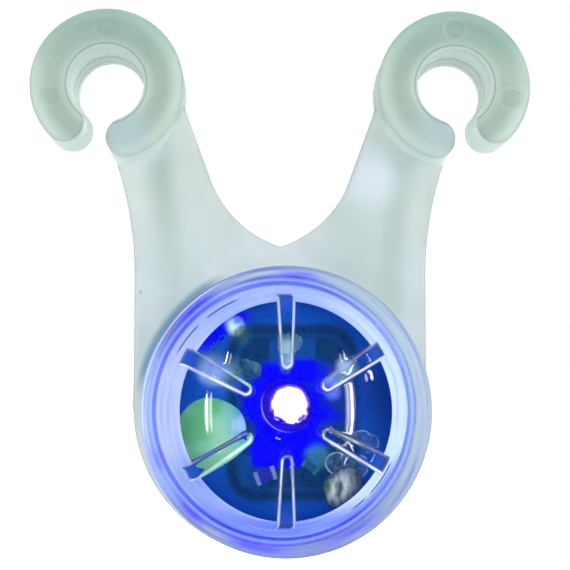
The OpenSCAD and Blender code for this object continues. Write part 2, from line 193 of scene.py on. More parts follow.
def soft_min(a, b, k):
    """Smaller of two distances, lowered by up to a quarter of k where they differ by less than k."""
    near = np.clip(1 - np.abs(a - b) / k, 0, 1)
    return np.minimum(a, b) - near * near * k / 4


def soft_max(a, b, k):
    """Larger of two distances, with its crease rounded over a width of about k."""
    return -soft_min(-a, -b, k)


def slab(outline, z, low, high, r):
    """Distance to a plate: outline is the distance in plan, low and high its faces, r its edge rounding."""
    side = outline + r
    rise = np.maximum(z - high, low - z) + r
    beyond = np.hypot(np.maximum(side, 0), np.maximum(rise, 0))
    return np.minimum(np.maximum(side, rise), 0) + beyond - r


# %% [markdown]
# The arms leave a pointed arch between them. Two arcs make the arch and run on as straight edges, and two
# wide arcs make the flared flanks. A shallow channel runs along each arm and thins it.

# %% Arms
arm_t = 4.0
arm_round = 0.6
notch_y = 16.1
arch_r = 11.2
arch_lead = 3.48
arch_y = notch_y + math.sqrt(arch_r ** 2 - arch_lead ** 2)
arm_lean = math.tan(math.radians(20))
flank_r = 36.0
flank_y = 13.0
eye_clear = 0.6
plate_fillet = 0.3
channel_at = (10.2, 9.5)
channel_lean = math.radians(7.8)
channel_depth = 0.5
channel_half = 1.7


def arms(x, y, z):
    """Plate and arms: outside the pointed arch, whose arcs run on as straight edges, inside the flared
    flanks, and thinned by a shallow channel."""
    x = np.abs(x)
    share = 1 / math.hypot(1, arm_lean)
    join_x = arch_r * share - arch_lead
    join_y = arch_y - arch_r * arm_lean * share
    edge = (join_x + (y - join_y) * arm_lean - x) * share
    gap = np.where(y < join_y, arch_r - np.hypot(x + arch_lead, y - arch_y), edge)
    flank = flank_r - np.hypot(x - plate_half_w - flank_r, np.maximum(y - flank_y, 0))
    eye = eye_r + eye_clear - np.hypot(x - eye_x, y - eye_y)
    outline = np.maximum.reduce((gap, flank, -y, eye, y - eye_y))
    outline = soft_min(outline, np.hypot(x, y) - plate_half_w, plate_fillet)
    across = (x - channel_at[0]) * math.cos(channel_lean) - (y - channel_at[1]) * math.sin(channel_lean)
    channel = channel_depth * np.exp(-(across / channel_half) ** 2)
    return slab(outline, z, 0, arm_t - channel, arm_round)


print("notch at", notch_y, "arch centre at", round(arch_y, 2))

# %% [markdown]
# A hook is a C with round lips. In plan it is an arc with a thickness: the distance to the arc, less half the
# wall. The mouth is what the arc leaves out, and it leans outwards so that a spoke finds it.

# %% Hooks
hook_mid = (eye_r + hook_r) / 2
hook_wall = hook_r - eye_r
hook_depth = 7.0
hook_round = 0.45
hook_crown = 0.35
mouth_w = 2.35
mouth_lean = math.radians(14)
tip_angle = math.asin((mouth_w + hook_wall) / 2 / hook_mid)
bore_step = 0.13
bore_levels = (1.4, 2.8)
ejector_angles = (90, -14, 205)
ejector_r = 1.0
ejector_depth = 0.2
step_soft = 0.1


def hook(x, y, z):
    """C-hook: distance to an arc with round ends. Its eye narrows in two steps towards the back, and its
    front is crowned, with shallow ejector marks."""
    dx = np.abs(x) - eye_x
    dy = y - eye_y
    narrow = sum(bore_step / 2 * (1 - np.tanh((z - level) / step_soft)) for level in bore_levels)
    mid = hook_mid - narrow / 2
    half = (hook_wall + narrow) / 2
    along = np.abs(dx * math.cos(mouth_lean) + dy * math.sin(mouth_lean))
    up = dy * math.cos(mouth_lean) - dx * math.sin(mouth_lean)
    past_end = -math.cos(tip_angle) * along > math.sin(tip_angle) * up
    to_end = np.hypot(along - math.sin(tip_angle) * mid, up + math.cos(tip_angle) * mid)
    line = np.where(past_end, to_end, np.abs(np.hypot(dx, dy) - mid))
    drop = hook_crown * np.minimum(line / half, 1) ** 2
    for angle in np.radians(ejector_angles):
        away = np.hypot(dx - hook_mid * np.cos(angle), dy - hook_mid * np.sin(angle))
        drop += ejector_depth / 2 * (1 - np.tanh((away - ejector_r) / step_soft))
    return slab(line - half, z, 0, hook_depth - drop, hook_round)


print("wall of a hook", round(hook_wall, 2), "mouth", mouth_w)

# %% [markdown]
# The collar is a round boss, and the cup is a room cut into it. The opening is narrower than the room, and
# that soft lip keeps the lamp in.

# %% Collar and cup
lamp_at = (0.45, -0.1)
collar_r = 14.05
collar_taper = 0.04
rim_round = 0.65
lip_r = 12.3
lip_z = 8.95
lip_overlap = 1.0
cup_r = 12.85
back_t = 1.3


def collar(x, y, z):
    """Solid round boss, a little beside the plate's middle, drawn in towards its rounded rim."""
    r = np.hypot(x - lamp_at[0], y - lamp_at[1])
    return slab(r - collar_r + (z - arm_t) * collar_taper, z, 0, rim_z, rim_round)


def cup(x, y, z):
    """Room for the lamp: the cup behind the lip, and the opening through the lip."""
    r = np.hypot(x, y)
    room = np.maximum.reduce((r - cup_r, back_t - z, z - lip_z))
    return np.minimum(room, np.maximum(r - lip_r, lip_z - lip_overlap - z))


print("the lip reaches over the cup by", round(cup_r - lip_r, 2))

# %% Whole holder
collar_fillet = 0.8
hook_fillet = 0.3
cup_fillet = 0.35


def holder_distance(x, y, z):
    """Arms, collar and hooks joined softly, the cup cut out of them, and all cut flat at the back."""
    body = soft_min(arms(x, y, z), collar(x, y, z), collar_fillet)
    body = soft_min(body, hook(x, y, z), hook_fillet)
    body = soft_max(body, -cup(x, y, z), cup_fillet)
    return np.maximum(body, -z)


print("room round the middle of an eye:", round(float(holder_distance(eye_x, eye_y, arm_t)), 2))

# %% [markdown]
# A distance field has no faces yet. The space is cut into small cells, and each cell that the skin passes
# through gets one point; four cells round a grid edge that the skin crosses make a quad. The points then
# slide down the slope of the distance, so the skin lies on the formula and not on the grid.

# %% Skin of a distance field
probe_step = 0.02
slide_steps = 4
least_slope = 0.25


def neighbours(axis, i, j, size):
    """Slice of a grid shifted by i and j along the two directions other than axis."""
    part = [slice(None)] * 3
    first, second = (k for k in range(3) if k != axis)
    part[first] = slice(i, i + size[first])
    part[second] = slice(j, j + size[second])
    return tuple(part)


def settle(distance, points, step):
    """Moves points onto the skin: a few steps down the slope, each the distance over the slope squared."""
    nudges = probe_step * np.eye(3)
    for _ in range(slide_steps):
        rise = [distance(*(points + nudge).T) - distance(*(points - nudge).T) for nudge in nudges]
        slope = np.stack(rise, axis=-1) / (2 * probe_step)
        fall = distance(*points.T) / np.maximum((slope ** 2).sum(axis=1), least_slope)
        points = points - slope * np.clip(fall, -step, step)[:, None]
    return points


def edge_crossings(value):
    """For each axis, the grid edges that change sign: where they are, which of them start inside, and the
    share of the edge at which the value is zero."""
    found = []
    for axis in range(3):
        near = np.delete(value, -1, axis)
        far = np.delete(value, 0, axis)
        crossed = (near < 0) != (far < 0)
        share = np.where(crossed, near / np.where(crossed, near - far, 1), 0)
        found.append((crossed, near < 0, share))
    return found


def cell_points(crossings, size):
    """Grid cells that the skin crosses, and the mean of the crossings on each one's edges, in cells."""
    total, count = np.zeros(size + [3]), np.zeros(size)
    for axis, (crossed, _, share) in enumerate(crossings):
        first, second = (k for k in range(3) if k != axis)
        for i, j in ((0, 0), (0, 1), (1, 0), (1, 1)):
            part = neighbours(axis, i, j, size)
            hit = crossed[part]
            count += hit
            total[..., axis] += share[part]
            total[..., first] += hit * i
            total[..., second] += hit * j
    cells = count > 0
    return cells, np.argwhere(cells) + total[cells] / count[cells][:, None]


def cell_quads(crossings, index):
    """A quad of the four cells round each inner grid edge that is crossed, turned to face outwards."""
    quads = []
    for axis, (crossed, inside, _) in enumerate(crossings):
        inner = tuple(slice(None) if k == axis else slice(1, -1) for k in range(3))
        edge = np.argwhere(crossed[inner])
        first, second = (np.eye(3, dtype=int)[k] for k in range(3) if k != axis)
        round_edge = [edge, edge + first, edge + first + second, edge + second]
        quad = np.stack([index[tuple(cell.T)] for cell in round_edge], axis=-1)
        turn = inside[inner][tuple(edge.T)] == (axis == 1)
        quads.append(np.where(turn[:, None], quad[:, ::-1], quad))
    return np.concatenate(quads).tolist()


def field_skin(distance, low, high, step):
    """Points and faces of the skin where a distance is zero, found on a grid between two corners."""
    axes = [np.arange(a, b + step, step) for a, b in zip(low, high)]
    value = distance(*np.meshgrid(*axes, indexing="ij"))
    size = [n - 1 for n in value.shape]
    crossings = edge_crossings(value)
    cells, places = cell_points(crossings, size)
    index = np.full(size, -1)
    index[cells] = np.arange(len(places))
    return settle(distance, np.array(low) + step * places, step), cell_quads(crossings, index)


# %% Make the holder
field_step = 0.27
margin = 0.4
skin = field_skin(holder_distance, holder_low - margin, holder_high + margin, field_step)
holder = new_piece("holder_moulding", *skin, sharp_deg=60)

# %% [markdown]
# ## Lens
# The lens is one clear cap: a shallow dome with six raised ribs, a short wall, a flange that the lip of the
# holder keeps in, and a skirt. It is a lathe shape, so one profile is carried round the axis, from the inner
# top down to the skirt and back up to the outer top. The ribs are a height added to the outer dome, which a
# boolean would leave with hard corners and this leaves with the soft edges that catch the light.

# %% Lens profile
dome_r = 19.5
dome_z = 15.2
dome_centre = dome_z - dome_r
pole_deg = 89.5
lens_wall = 1.55
lens_r = 12.0
wall_draft = 0.2
window_r = 10.55
shoulder = 1.2
flange_t = 0.9
flange_gap = 0.05
flange_r = lens_high[0]
flange_z = board_front - flange_t - flange_gap
skirt_r = 11.25
skirt_z = lens_low[2]
wall_rounds = (0.12, 0.12, 0.1, 0.15, 0.15, 0.12)
inside_steps = 26
round_steps = 3
bend_steps = 12
dome_steps = 104


def lens_profile():
    """(radius, height) from the inner top of the dome, round the skirt and flange, to the outer top; also
    the number of the first point that lies outside."""
    inner_r = dome_r - lens_wall
    reach = math.degrees(math.acos(window_r / inner_r))
    inside = arc((0, dome_centre), inner_r, pole_deg, reach, inside_steps)
    corner = lens_r - wall_draft - shoulder
    corner_z = dome_centre + math.sqrt((dome_r - shoulder) ** 2 - corner ** 2)
    lean = math.degrees(math.atan2(corner_z - dome_centre, corner))
    flange_top = flange_z + flange_t
    wall_corners = [inside[-1], (window_r, skirt_z), (skirt_r, skirt_z), (skirt_r, flange_z),
                    (flange_r, flange_z), (flange_r, flange_top), (lens_r, flange_top),
                    (lens_r - wall_draft, corner_z)]
    wall = rounded_path(wall_corners, wall_rounds, round_steps)
    bend = arc((corner, corner_z), shoulder, 0, lean, bend_steps)
    dome = arc((0, dome_centre), dome_r, lean, pole_deg, dome_steps)
    return np.concatenate((inside[:-1], wall[:-1], bend, dome[1:])), len(inside) + len(wall) - 2


profile, outside_from = lens_profile()
print("lens profile:", len(profile), "points")

# %% [markdown]
# The ribs are tapered bars with a round inner end, and they sink into the dome before they reach the
# shoulder. A mask says where they are, so one grid carries the dome and the ribs together.

# %% Ribs
rib_turn = 2 * math.pi / 6
rib_h = 0.6
rib_start = 3.9
rib_fade = (10.6, 10.95)
rib_half = (0.42, 0.86)
rib_edge = 0.13
rib_shear = 0.05


def rib_mask(x, y):
    """1 on a rib and 0 off it: distance to the nearest of six tapered bars with round inner ends. They sit a
    little higher on the right than on the left, as the lens does in its cup."""
    y = y - rib_shear * x
    r = np.hypot(x, y)
    turn = np.mod(np.arctan2(y, x), rib_turn) - rib_turn / 2
    along, across = r * np.cos(turn), r * np.sin(turn)
    half = rib_half[0] + (rib_half[1] - rib_half[0]) * share_between(along, rib_start, lens_r)
    edge = np.hypot(np.minimum(along - rib_start - rib_half[0], 0), across) - half
    return (1 - np.tanh(edge / rib_edge)) / 2


def sphere_height(r, over):
    """Height of the dome, swollen by over, at a distance r from the axis."""
    return dome_centre + np.sqrt((dome_r + over) ** 2 - r ** 2)


print("a rib on its middle line:", round(float(rib_mask(0.0, lens_r - shoulder)), 2))

# %% Make the lens
lens_around = 576
window_keep = (10.3, 11.1)
window_shift = np.array((0.33, 0.02))
window_stretch = np.array((-0.012, 0.022))
edge_probe = 0.05

rings = revolve(profile, lens_around)
outer = rings[outside_from:]
flat_x, flat_y = outer[..., 0].copy(), outer[..., 1].copy()
radius = np.hypot(flat_x, flat_y)
on_rib = rib_mask(flat_x, flat_y)
below = rib_mask(flat_x, flat_y + edge_probe) - rib_mask(flat_x, flat_y - edge_probe)
fade = share_between(radius, rib_fade[1], rib_fade[0])
within = share_between(radius, window_keep[1], window_keep[0])
outer[..., :2] += within[..., None] * (outer[..., :2] * window_stretch + window_shift)
moved = np.hypot(outer[..., 0], outer[..., 1])
dome_height = sphere_height(moved, 0)
ribbed = dome_height + (sphere_height(moved, rib_h) - dome_height) * on_rib * fade
outer[..., 2] = np.where(within > 0, ribbed, outer[..., 2])
lens_points, lens_faces = ring_skin(rings)
lens = new_piece("lens_cap", lens_points, lens_faces, sharp_deg=40)

# %% [markdown]
# Light collects along the edges of a clear rib, and the finish paints it there as a highlight. The mask
# knows where those edges are, so each point of the mesh keeps two numbers for the finish: one for the edge
# of a rib and one for its top.

# %% Numbers for the finish of the ribs
edge_shine = 0.7
lower_edge_gain = 0.3
shine = edge_shine + lower_edge_gain * np.clip(4 * below, -1, 1)
rib_numbers = {"rib_edge": 4 * on_rib * (1 - on_rib) * fade * shine, "rib_top": on_rib * fade}
for label, share in rib_numbers.items():
    value = np.zeros(len(lens_points))
    value[outside_from * lens_around:-2] = share.ravel()
    lens.data.attributes.new(label, "FLOAT", "POINT").data.foreach_set("value", value)
    print(label, "reaches", round(float(value.max()), 2))

# %% [markdown]
# ## Lit parts under the lens
# The LED is a lathe shape with a flange, a short barrel and a shallow top, and it leans a little on its
# leads. The epoxy drop over the chip and the mounds of solder were liquid once, so each is a lathe shape
# whose outline wanders a little with the angle.

# %% LED body
led_high = face_box("led_body")[1]
led_h = led_high[2] - board_front
led_flange = led_high[1]
led_flange_t = 0.7
led_barrel = 2.4
led_shoulder = led_h - 1.3
led_crown = (led_barrel * 0.62, led_h - 0.25)
led_lean = np.array((0.15, 0.155))
pole_r = 0.05
led_corners = [(pole_r, 0), (led_flange, 0), (led_flange, led_flange_t), (led_barrel, led_flange_t),
               (led_barrel, led_shoulder), led_crown, (pole_r, led_h)]
led_rounds = (0.1, 0.12, 0.1, 0.35, 0.6)
led_around = 72
led_path = rounded_path(led_corners, led_rounds)
led_rings = revolve(led_path + (0, board_front), led_around)
led_rings[..., :2] += (led_rings[..., 2:] - board_front) * led_lean
led_piece = new_piece("led_bulb", *ring_skin(led_rings))

# %% Drops that were liquid
blob_low, blob_high = face_box("chip_blob")
blob_r = (blob_high[0] - blob_low[0]) / 2
blob_swell = 1.06
blob_shift = (0.3, -0.15)
blob_h = 1.2
blob_wander = 0.05
drop_pole = 0.02
base_steps = 4


def drop_rings(centre, r, height, wander, seed, around=72, steps=20):
    """Rings of a drop: a rounded dome, height * (1 - t^2)^0.8 over the radius t, whose outline is scaled by
    1 + wander * a sum of three sine waves round the axis with phases drawn from the seed."""
    phases = np.random.default_rng(seed).uniform(0, 2 * np.pi, 3)
    angle = np.arange(around) * 2 * np.pi / around
    waves = sum(np.sin(k * angle + p) / k for k, p in zip((2, 3, 5), phases))
    base = np.linspace(drop_pole, 1, base_steps)
    top = np.cos(np.linspace(0, np.pi / 2, steps)[1:]) + drop_pole
    t = np.concatenate((base, top))
    rise = np.concatenate((np.zeros(base_steps), height * (1 - np.clip(top, 0, 1) ** 2) ** 0.8))
    reach = r * t[:, None] * (1 + wander * waves * t[:, None])
    x = centre[0] + reach * np.cos(angle)
    y = centre[1] + reach * np.sin(angle)
    return np.stack((x, y, board_front + np.broadcast_to(rise[:, None], x.shape)), axis=-1)


blob_rings = drop_rings(middle("chip_blob") + blob_shift, blob_r * blob_swell, blob_h, blob_wander, seed=3)
blob = new_piece("chip_drop", *ring_skin(blob_rings))

# %% Solder
solder_drops = (((5.2, -7.4), 1.45, 0.8), ((6.35, -6.45), 1.15, 0.7),
                ((-3.1, 3.7), 1.1, 0.48), ((0.9, 6.2), 0.95, 0.2))
solder_wander = 0.16
lead_x = 1.27
joint_around = 24
joint_profile = np.array(((0.02, -0.7), (0.4, -0.7), (0.45, -0.45), (0.85, 0.0), (0.02, 0.0)))


def joined_skins(ring_sets):
    """Points and faces of several closed skins in one mesh, numbered one after the other."""
    points, faces = [], []
    for rings in ring_sets:
        skin_points, skin_faces = ring_skin(rings, first=sum(map(len, points)))
        points.append(skin_points)
        faces += skin_faces
    return np.concatenate(points), faces


solder_rings = [drop_rings(at, r, h, solder_wander, seed) for seed, (at, r, h) in enumerate(solder_drops)]
joint_path = joint_profile + (0, board_back)
solder_rings += [revolve(joint_path, joint_around, (side * lead_x, 0.0)) for side in (-1, 1)]
solder = new_piece("solder_mounds", *joined_skins(solder_rings))

# %% [markdown]
# ## Materials
# Each finish reads Object coordinates, which here are the frame's own metres, so a pattern lies in the same
# place on the piece whatever view or pose is shown. The helpers below write node trees in the way that
# formulas are written. A mask is a value from 0 to 1, and a finish is a base colour with further colours
# laid over it through masks.

# %% Writing nodes


def feed(tree, socket, value):
    """Links a socket to another node's output, or writes a plain value on it."""
    if isinstance(value, bpy.types.NodeSocket):
        tree.links.new(value, socket)
    else:
        socket.default_value = value


def add(tree, kind, settings=None, inputs=None):
    """Adds a shader node with its own settings and its inputs, given by name or number."""
    made = tree.nodes.new("ShaderNode" + kind)
    for name, value in (settings or {}).items():
        setattr(made, name, value)
    for name, value in (inputs or {}).items():
        feed(tree, made.inputs[name], value)
    return made


def calc(tree, operation, a, b=0.0):
    """Output of a Math node."""
    return add(tree, "Math", {"operation": operation}, {0: a, 1: b}).outputs[0]


def fold(tree, operation, values):
    """Values joined one after the other by an operation of the Math node."""
    result = values[0]
    for value in values[1:]:
        result = calc(tree, operation, result, value)
    return result


# %% Masks


def both(tree, *masks):
    """Product of masks and plain shares."""
    return fold(tree, "MULTIPLY", masks)


def largest(tree, *masks):
    """Largest of several masks."""
    return fold(tree, "MAXIMUM", masks)


def inverse(tree, mask):
    """1 where the mask is 0, and 0 where it is 1."""
    return calc(tree, "SUBTRACT", 1.0, mask)


def ramp(tree, value, low, high, to_low=0.0, to_high=1.0):
    """Value between two limits turned smoothly into a share between two others."""
    inputs = {"Value": value, "From Min": low, "From Max": high, "To Min": to_low, "To Max": to_high}
    return add(tree, "MapRange", {"interpolation_type": "SMOOTHSTEP"}, inputs).outputs["Result"]


def ramp_mm(tree, length, low, high, to_low=0.0, to_high=1.0):
    """The same for a length, with its two limits in millimetres."""
    return ramp(tree, length, low * MM, high * MM, to_low, to_high)


def line_at(tree, length, at, half, soft):
    """Thin line where a length passes a level, in millimetres."""
    off = calc(tree, "ABSOLUTE", calc(tree, "SUBTRACT", length, at * MM))
    return ramp_mm(tree, off, half, half + soft, 1.0, 0.0)


# %% Patterns and colours


def mix(tree, share, a, b):
    """Colour a where the share is 0 and b where it is 1."""
    return add(tree, "Mix", {"data_type": "RGBA"}, {0: share, 6: a, 7: b}).outputs[2]


def layers(tree, base, *pairs):
    """Colour with further colours laid over it, each through a mask."""
    for mask, colour in pairs:
        base = mix(tree, mask, base, colour)
    return base


def object_coords(tree):
    """Object coordinates, which are the frame's metres on every piece."""
    return add(tree, "TexCoord").outputs["Object"]


def object_axes(tree):
    """X, Y and Z of the Object coordinates."""
    return add(tree, "SeparateXYZ", None, {"Vector": object_coords(tree)}).outputs


def noise(tree, scale, detail=2.0, coords=None):
    """Value of a noise texture on Object coordinates, or on others made from them."""
    if coords is None:
        coords = object_coords(tree)
    return add(tree, "TexNoise", None, {"Vector": coords, "Scale": scale, "Detail": detail}).outputs["Fac"]


def cloud(tree, scale, low, high, to_low, to_high):
    """Noise of a scale, stretched from its own two limits to two others."""
    return ramp(tree, noise(tree, scale), low, high, to_low, to_high)


def srgb(red, green, blue):
    """Colour as read off a screen, 0 to 255, turned into Blender's linear values."""
    parts = [c / 255 for c in (red, green, blue)]
    return tuple(c / 12.92 if c <= 0.04045 else ((c + 0.055) / 1.055) ** 2.4 for c in parts) + (1.0,)


black = (0, 0, 0, 1)
white = (1, 1, 1, 1)
print("a middle grey of 128 is", round(srgb(128, 128, 128)[0], 3), "in linear light")

# %% Materials


def paint(tree, shader, **values):
    """Feeds outputs or plain values into a shader's sockets, named with underscores for spaces."""
    for label, value in values.items():
        feed(tree, shader.inputs[label.replace("_", " ")], value)


def new_material(name, **values):
    """Material with a Principled shader and constant values on it; returns it, its tree and the shader."""
    material = bpy.data.materials.new(name)
    material.use_nodes = True
    shader = material.node_tree.nodes["Principled BSDF"]
    paint(material.node_tree, shader, **values)
    return material, material.node_tree, shader


def bump(tree, shader, height, depth_mm, strength):
    """Feeds a height into the shader's normal."""
    inputs = {"Strength": strength, "Distance": depth_mm * MM, "Height": height}
    paint(tree, shader, Normal=add(tree, "Bump", None, inputs).outputs["Normal"])


def dress(piece, *materials):
    """Puts materials into a piece's slots, in place of what was there."""
    piece.data.materials.clear()
    for material in materials:
        piece.data.materials.append(material)
    print(piece.name, "wears", ", ".join(material.name for material in materials))


# %% [markdown]
# Effects that several finishes share are node groups, built once and placed with other values: a fine moulded
# grain, a soft disc and a soft rounded box measured on the lamp's face, and streaks round the lamp's axis.

# %% Groups


def new_group(name, inputs, outputs):
    """Empty shader node group with named float inputs and outputs; returns it with its two end nodes."""
    group = bpy.data.node_groups.new(name, "ShaderNodeTree")
    for label, value in inputs.items():
        group.interface.new_socket(label, in_out="INPUT", socket_type="NodeSocketFloat").default_value = value
    for label in outputs:
        group.interface.new_socket(label, in_out="OUTPUT", socket_type="NodeSocketFloat")
    return group, group.nodes.new("NodeGroupInput").outputs, group.nodes.new("NodeGroupOutput").inputs


def length_of(tree, a, b):
    """Root of the sum of two squares."""
    squares = [calc(tree, "MULTIPLY", part, part) for part in (a, b)]
    return calc(tree, "SQRT", calc(tree, "ADD", *squares))


# %% Grain and streaks


def make_grain():
    """Fine moulded grain: small noise as a height and large noise as a slow mottle."""
    scales = {"Scale": 900.0, "Mottle Scale": 120.0}
    group, given, result = new_group("moulded_grain", scales, ("Height", "Mottle"))
    feed(group, result["Height"], noise(group, given["Scale"], 3.0))
    feed(group, result["Mottle"], noise(group, given["Mottle Scale"]))
    return group


def make_streaks():
    """Streaks round the lamp's axis: noise on the direction from the axis and on the distance from it."""
    group, given, result = new_group("ring_streaks", {"Along": 1.5, "Across": 2000.0}, ("Value",))
    axes = object_axes(group)
    ring = length_of(group, axes["X"], axes["Z"])
    x, y = (calc(group, "MULTIPLY", calc(group, "DIVIDE", axes[k], ring), given["Along"]) for k in "XZ")
    inputs = {"X": x, "Y": y, "Z": calc(group, "MULTIPLY", ring, given["Across"])}
    place = add(group, "CombineXYZ", None, inputs).outputs["Vector"]
    feed(group, result["Value"], noise(group, 1.0, 3.0, place))
    return group


grain = make_grain()
ring_streaks = make_streaks()
print("shared patterns:", grain.name, ring_streaks.name)

# %% Disc and box


def make_disc():
    """Distance from a point (X, Z) on the lamp's face, and a mask: 1 within Inner of it, 0 past Outer."""
    sizes = {"X": 0.0, "Z": 0.0, "Inner": 0.001, "Outer": 0.002}
    group, given, result = new_group("face_disc", sizes, ("Mask", "Distance"))
    axes = object_axes(group)
    distance = length_of(group, *(calc(group, "SUBTRACT", axes[k], given[k]) for k in "XZ"))
    feed(group, result["Distance"], distance)
    feed(group, result["Mask"], ramp(group, distance, given["Inner"], given["Outer"], 1.0, 0.0))
    return group


def make_box():
    """Mask of a box with round corners on the lamp's face: 1 inside it, 0 past a soft edge."""
    sizes = {"X": 0.0, "Z": 0.0, "Half X": 0.001, "Half Z": 0.001, "Round": 0.001, "Soft": 0.0002}
    group, given, result = new_group("face_box", sizes, ("Mask",))
    axes = object_axes(group)
    over = []
    for axis in "XZ":
        off = calc(group, "ABSOLUTE", calc(group, "SUBTRACT", axes[axis], given[axis]))
        room = calc(group, "SUBTRACT", given["Half " + axis], given["Round"])
        over.append(calc(group, "MAXIMUM", calc(group, "SUBTRACT", off, room), 0.0))
    edge = calc(group, "ADD", given["Round"], given["Soft"])
    feed(group, result["Mask"], ramp(group, length_of(group, *over), given["Round"], edge, 1.0, 0.0))
    return group


disc = make_disc()
box = make_box()
print("shared masks:", disc.name, box.name)

# %% Placing the shared effects
axis_at = (0.0, 0.0)


def use_grain(tree, scale, mottle):
    """Height and mottle of the moulded grain."""
    placed = add(tree, "Group", {"node_tree": grain}, {"Scale": scale, "Mottle Scale": mottle})
    return placed.outputs["Height"], placed.outputs["Mottle"]


def spot(tree, at, inner, outer):
    """Disc mask round a point on the lamp's face, in millimetres."""
    inputs = {"X": at[0] * MM, "Z": at[1] * MM, "Inner": inner * MM, "Outer": outer * MM}
    return add(tree, "Group", {"node_tree": disc}, inputs).outputs["Mask"]


def spots(tree, places):
    """Mask of several discs, each given by its point, inner and outer radius."""
    return largest(tree, *(spot(tree, *place) for place in places))


def distance_from(tree, at):
    """Distance from a point on the lamp's face."""
    inputs = {"X": at[0] * MM, "Z": at[1] * MM}
    return add(tree, "Group", {"node_tree": disc}, inputs).outputs["Distance"]


def patch(tree, at, half, r, soft):
    """Rounded box mask on the lamp's face, in millimetres."""
    inputs = {"X": at[0] * MM, "Z": at[1] * MM, "Half X": half[0] * MM, "Half Z": half[1] * MM,
              "Round": r * MM, "Soft": soft * MM}
    return add(tree, "Group", {"node_tree": box}, inputs).outputs["Mask"]


def patches(tree, places):
    """Mask of several rounded boxes, each given by its point, half sizes, rounding and soft edge."""
    return largest(tree, *(patch(tree, *place) for place in places))


def use_streaks(tree, along, across):
    """Streaks round the lamp's axis, long for a small first number and fine for a large second one."""
    inputs = {"Along": along, "Across": across}
    return add(tree, "Group", {"node_tree": ring_streaks}, inputs).outputs["Value"]


# %% [markdown]
# The holder is milky rubber: light goes in, loses a little red on the way and comes out again, so the deep
# hooks look greener than the thin arms. Rough transmission carries the white behind it through, and the
# colour follows the depth of rubber: darker along the middle of the hooks. The darker channel along each arm
# is painted shade.

# %% Colour of the hooks
lit_ejectors = ejector_angles[:2]
# Middle of the painted highlight near the inner tip of each hook.
tip_highlight_at = (eye_x - 1.9, eye_y - 4.6)


def side_distance(tree, at):
    """Distance on the face from a point of the right half, or from its mirror image on the left half."""
    axes = object_axes(tree)
    side = calc(tree, "SUBTRACT", calc(tree, "ABSOLUTE", axes["X"]), at[0] * MM)
    return length_of(tree, side, calc(tree, "SUBTRACT", axes["Z"], at[1] * MM))


def ejector_paint(tree, axes):
    """Darker middles of the ejector marks, and pale rings round them, painted highlights that show best on
    the right.
    """
    marks, rings = [], []
    for angle in np.radians(lit_ejectors):
        away = side_distance(tree, (eye_x + hook_mid * math.cos(angle), eye_y + hook_mid * math.sin(angle)))
        marks.append(ramp_mm(tree, away, 0.6, ejector_r, 0.3, 0.0))
        # Painted highlight: a pale ring round each mark, shown most on the right below.
        rings.append(line_at(tree, away, ejector_r + 0.08, 0.02, 0.1))
    on_front = ramp_mm(tree, axes["Y"], -5.8, -6.3)
    by_side = ramp_mm(tree, axes["X"], -2, 2, 0.1, 0.4)
    return largest(tree, *marks), both(tree, largest(tree, *rings), on_front, by_side)


def hook_colour(tree, base):
    """Hooks over the base: pale edges, a deep middle that is darkest at the top, the moulding's lines, a
    painted shade line along the front edge of the eye, and painted highlights near the inner tips.
    """
    axes = object_axes(tree)
    from_eye = side_distance(tree, (eye_x, eye_y))
    on_hook = ramp_mm(tree, from_eye, hook_r, hook_r + 0.4, 1.0, 0.0)
    deep = both(tree, on_hook, line_at(tree, from_eye, hook_mid - 0.2, 0.3, 1.6))
    top = ramp_mm(tree, axes["Z"], eye_y + 1.0, eye_y + 5.5)
    crown = both(tree, deep, top, cloud(tree, 150.0, 0.25, 0.55, 0.5, 1.0))
    top_edge = both(tree, top, ramp_mm(tree, from_eye, hook_r - 1.3, hook_r - 0.5), on_hook, 0.85)
    bore = both(tree, on_hook, ramp_mm(tree, from_eye, eye_r + 0.2, eye_r + 0.5, 1.0, 0.0))
    to_step = calc(tree, "PINGPONG", axes["Y"], bore_levels[0] / 2 * MM)
    steps = both(tree, bore, ramp_mm(tree, to_step, 0.04, 0.14, 0.5, 0.0))
    # Painted shade: a dark line along the front edge of the eye.
    bore_edge = line_at(tree, from_eye, eye_r + 0.34, 0.02, 0.11)
    bore_edge = both(tree, bore_edge, ramp_mm(tree, axes["Y"], -5.5, -6.2), 0.7)
    marks, rings = ejector_paint(tree, axes)
    # Painted highlight: a pale bluish tint near the inner tip of each hook.
    tip_highlight = both(tree, on_hook, ramp_mm(tree, side_distance(tree, tip_highlight_at), 0.4, 3.4, 0.8, 0.0))
    return layers(tree, base, (on_hook, srgb(218, 236, 225)), (deep, srgb(175, 195, 183)),
                  (crown, srgb(156, 186, 176)), (top_edge, srgb(172, 212, 197)),
                  (bore, srgb(226, 241, 233)), (tip_highlight, srgb(190, 214, 220)),
                  (marks, srgb(146, 172, 164)), (rings, srgb(222, 238, 230)),
                  (steps, srgb(160, 184, 174)), (bore_edge, srgb(112, 140, 130)))


# %% Colour of the arms
sheen_places = (((-13.2, 26.0), 0.2, 2.2), ((9.0, 23.0), 0.5, 4.5))
shade_at = (-11.0, 8.2)


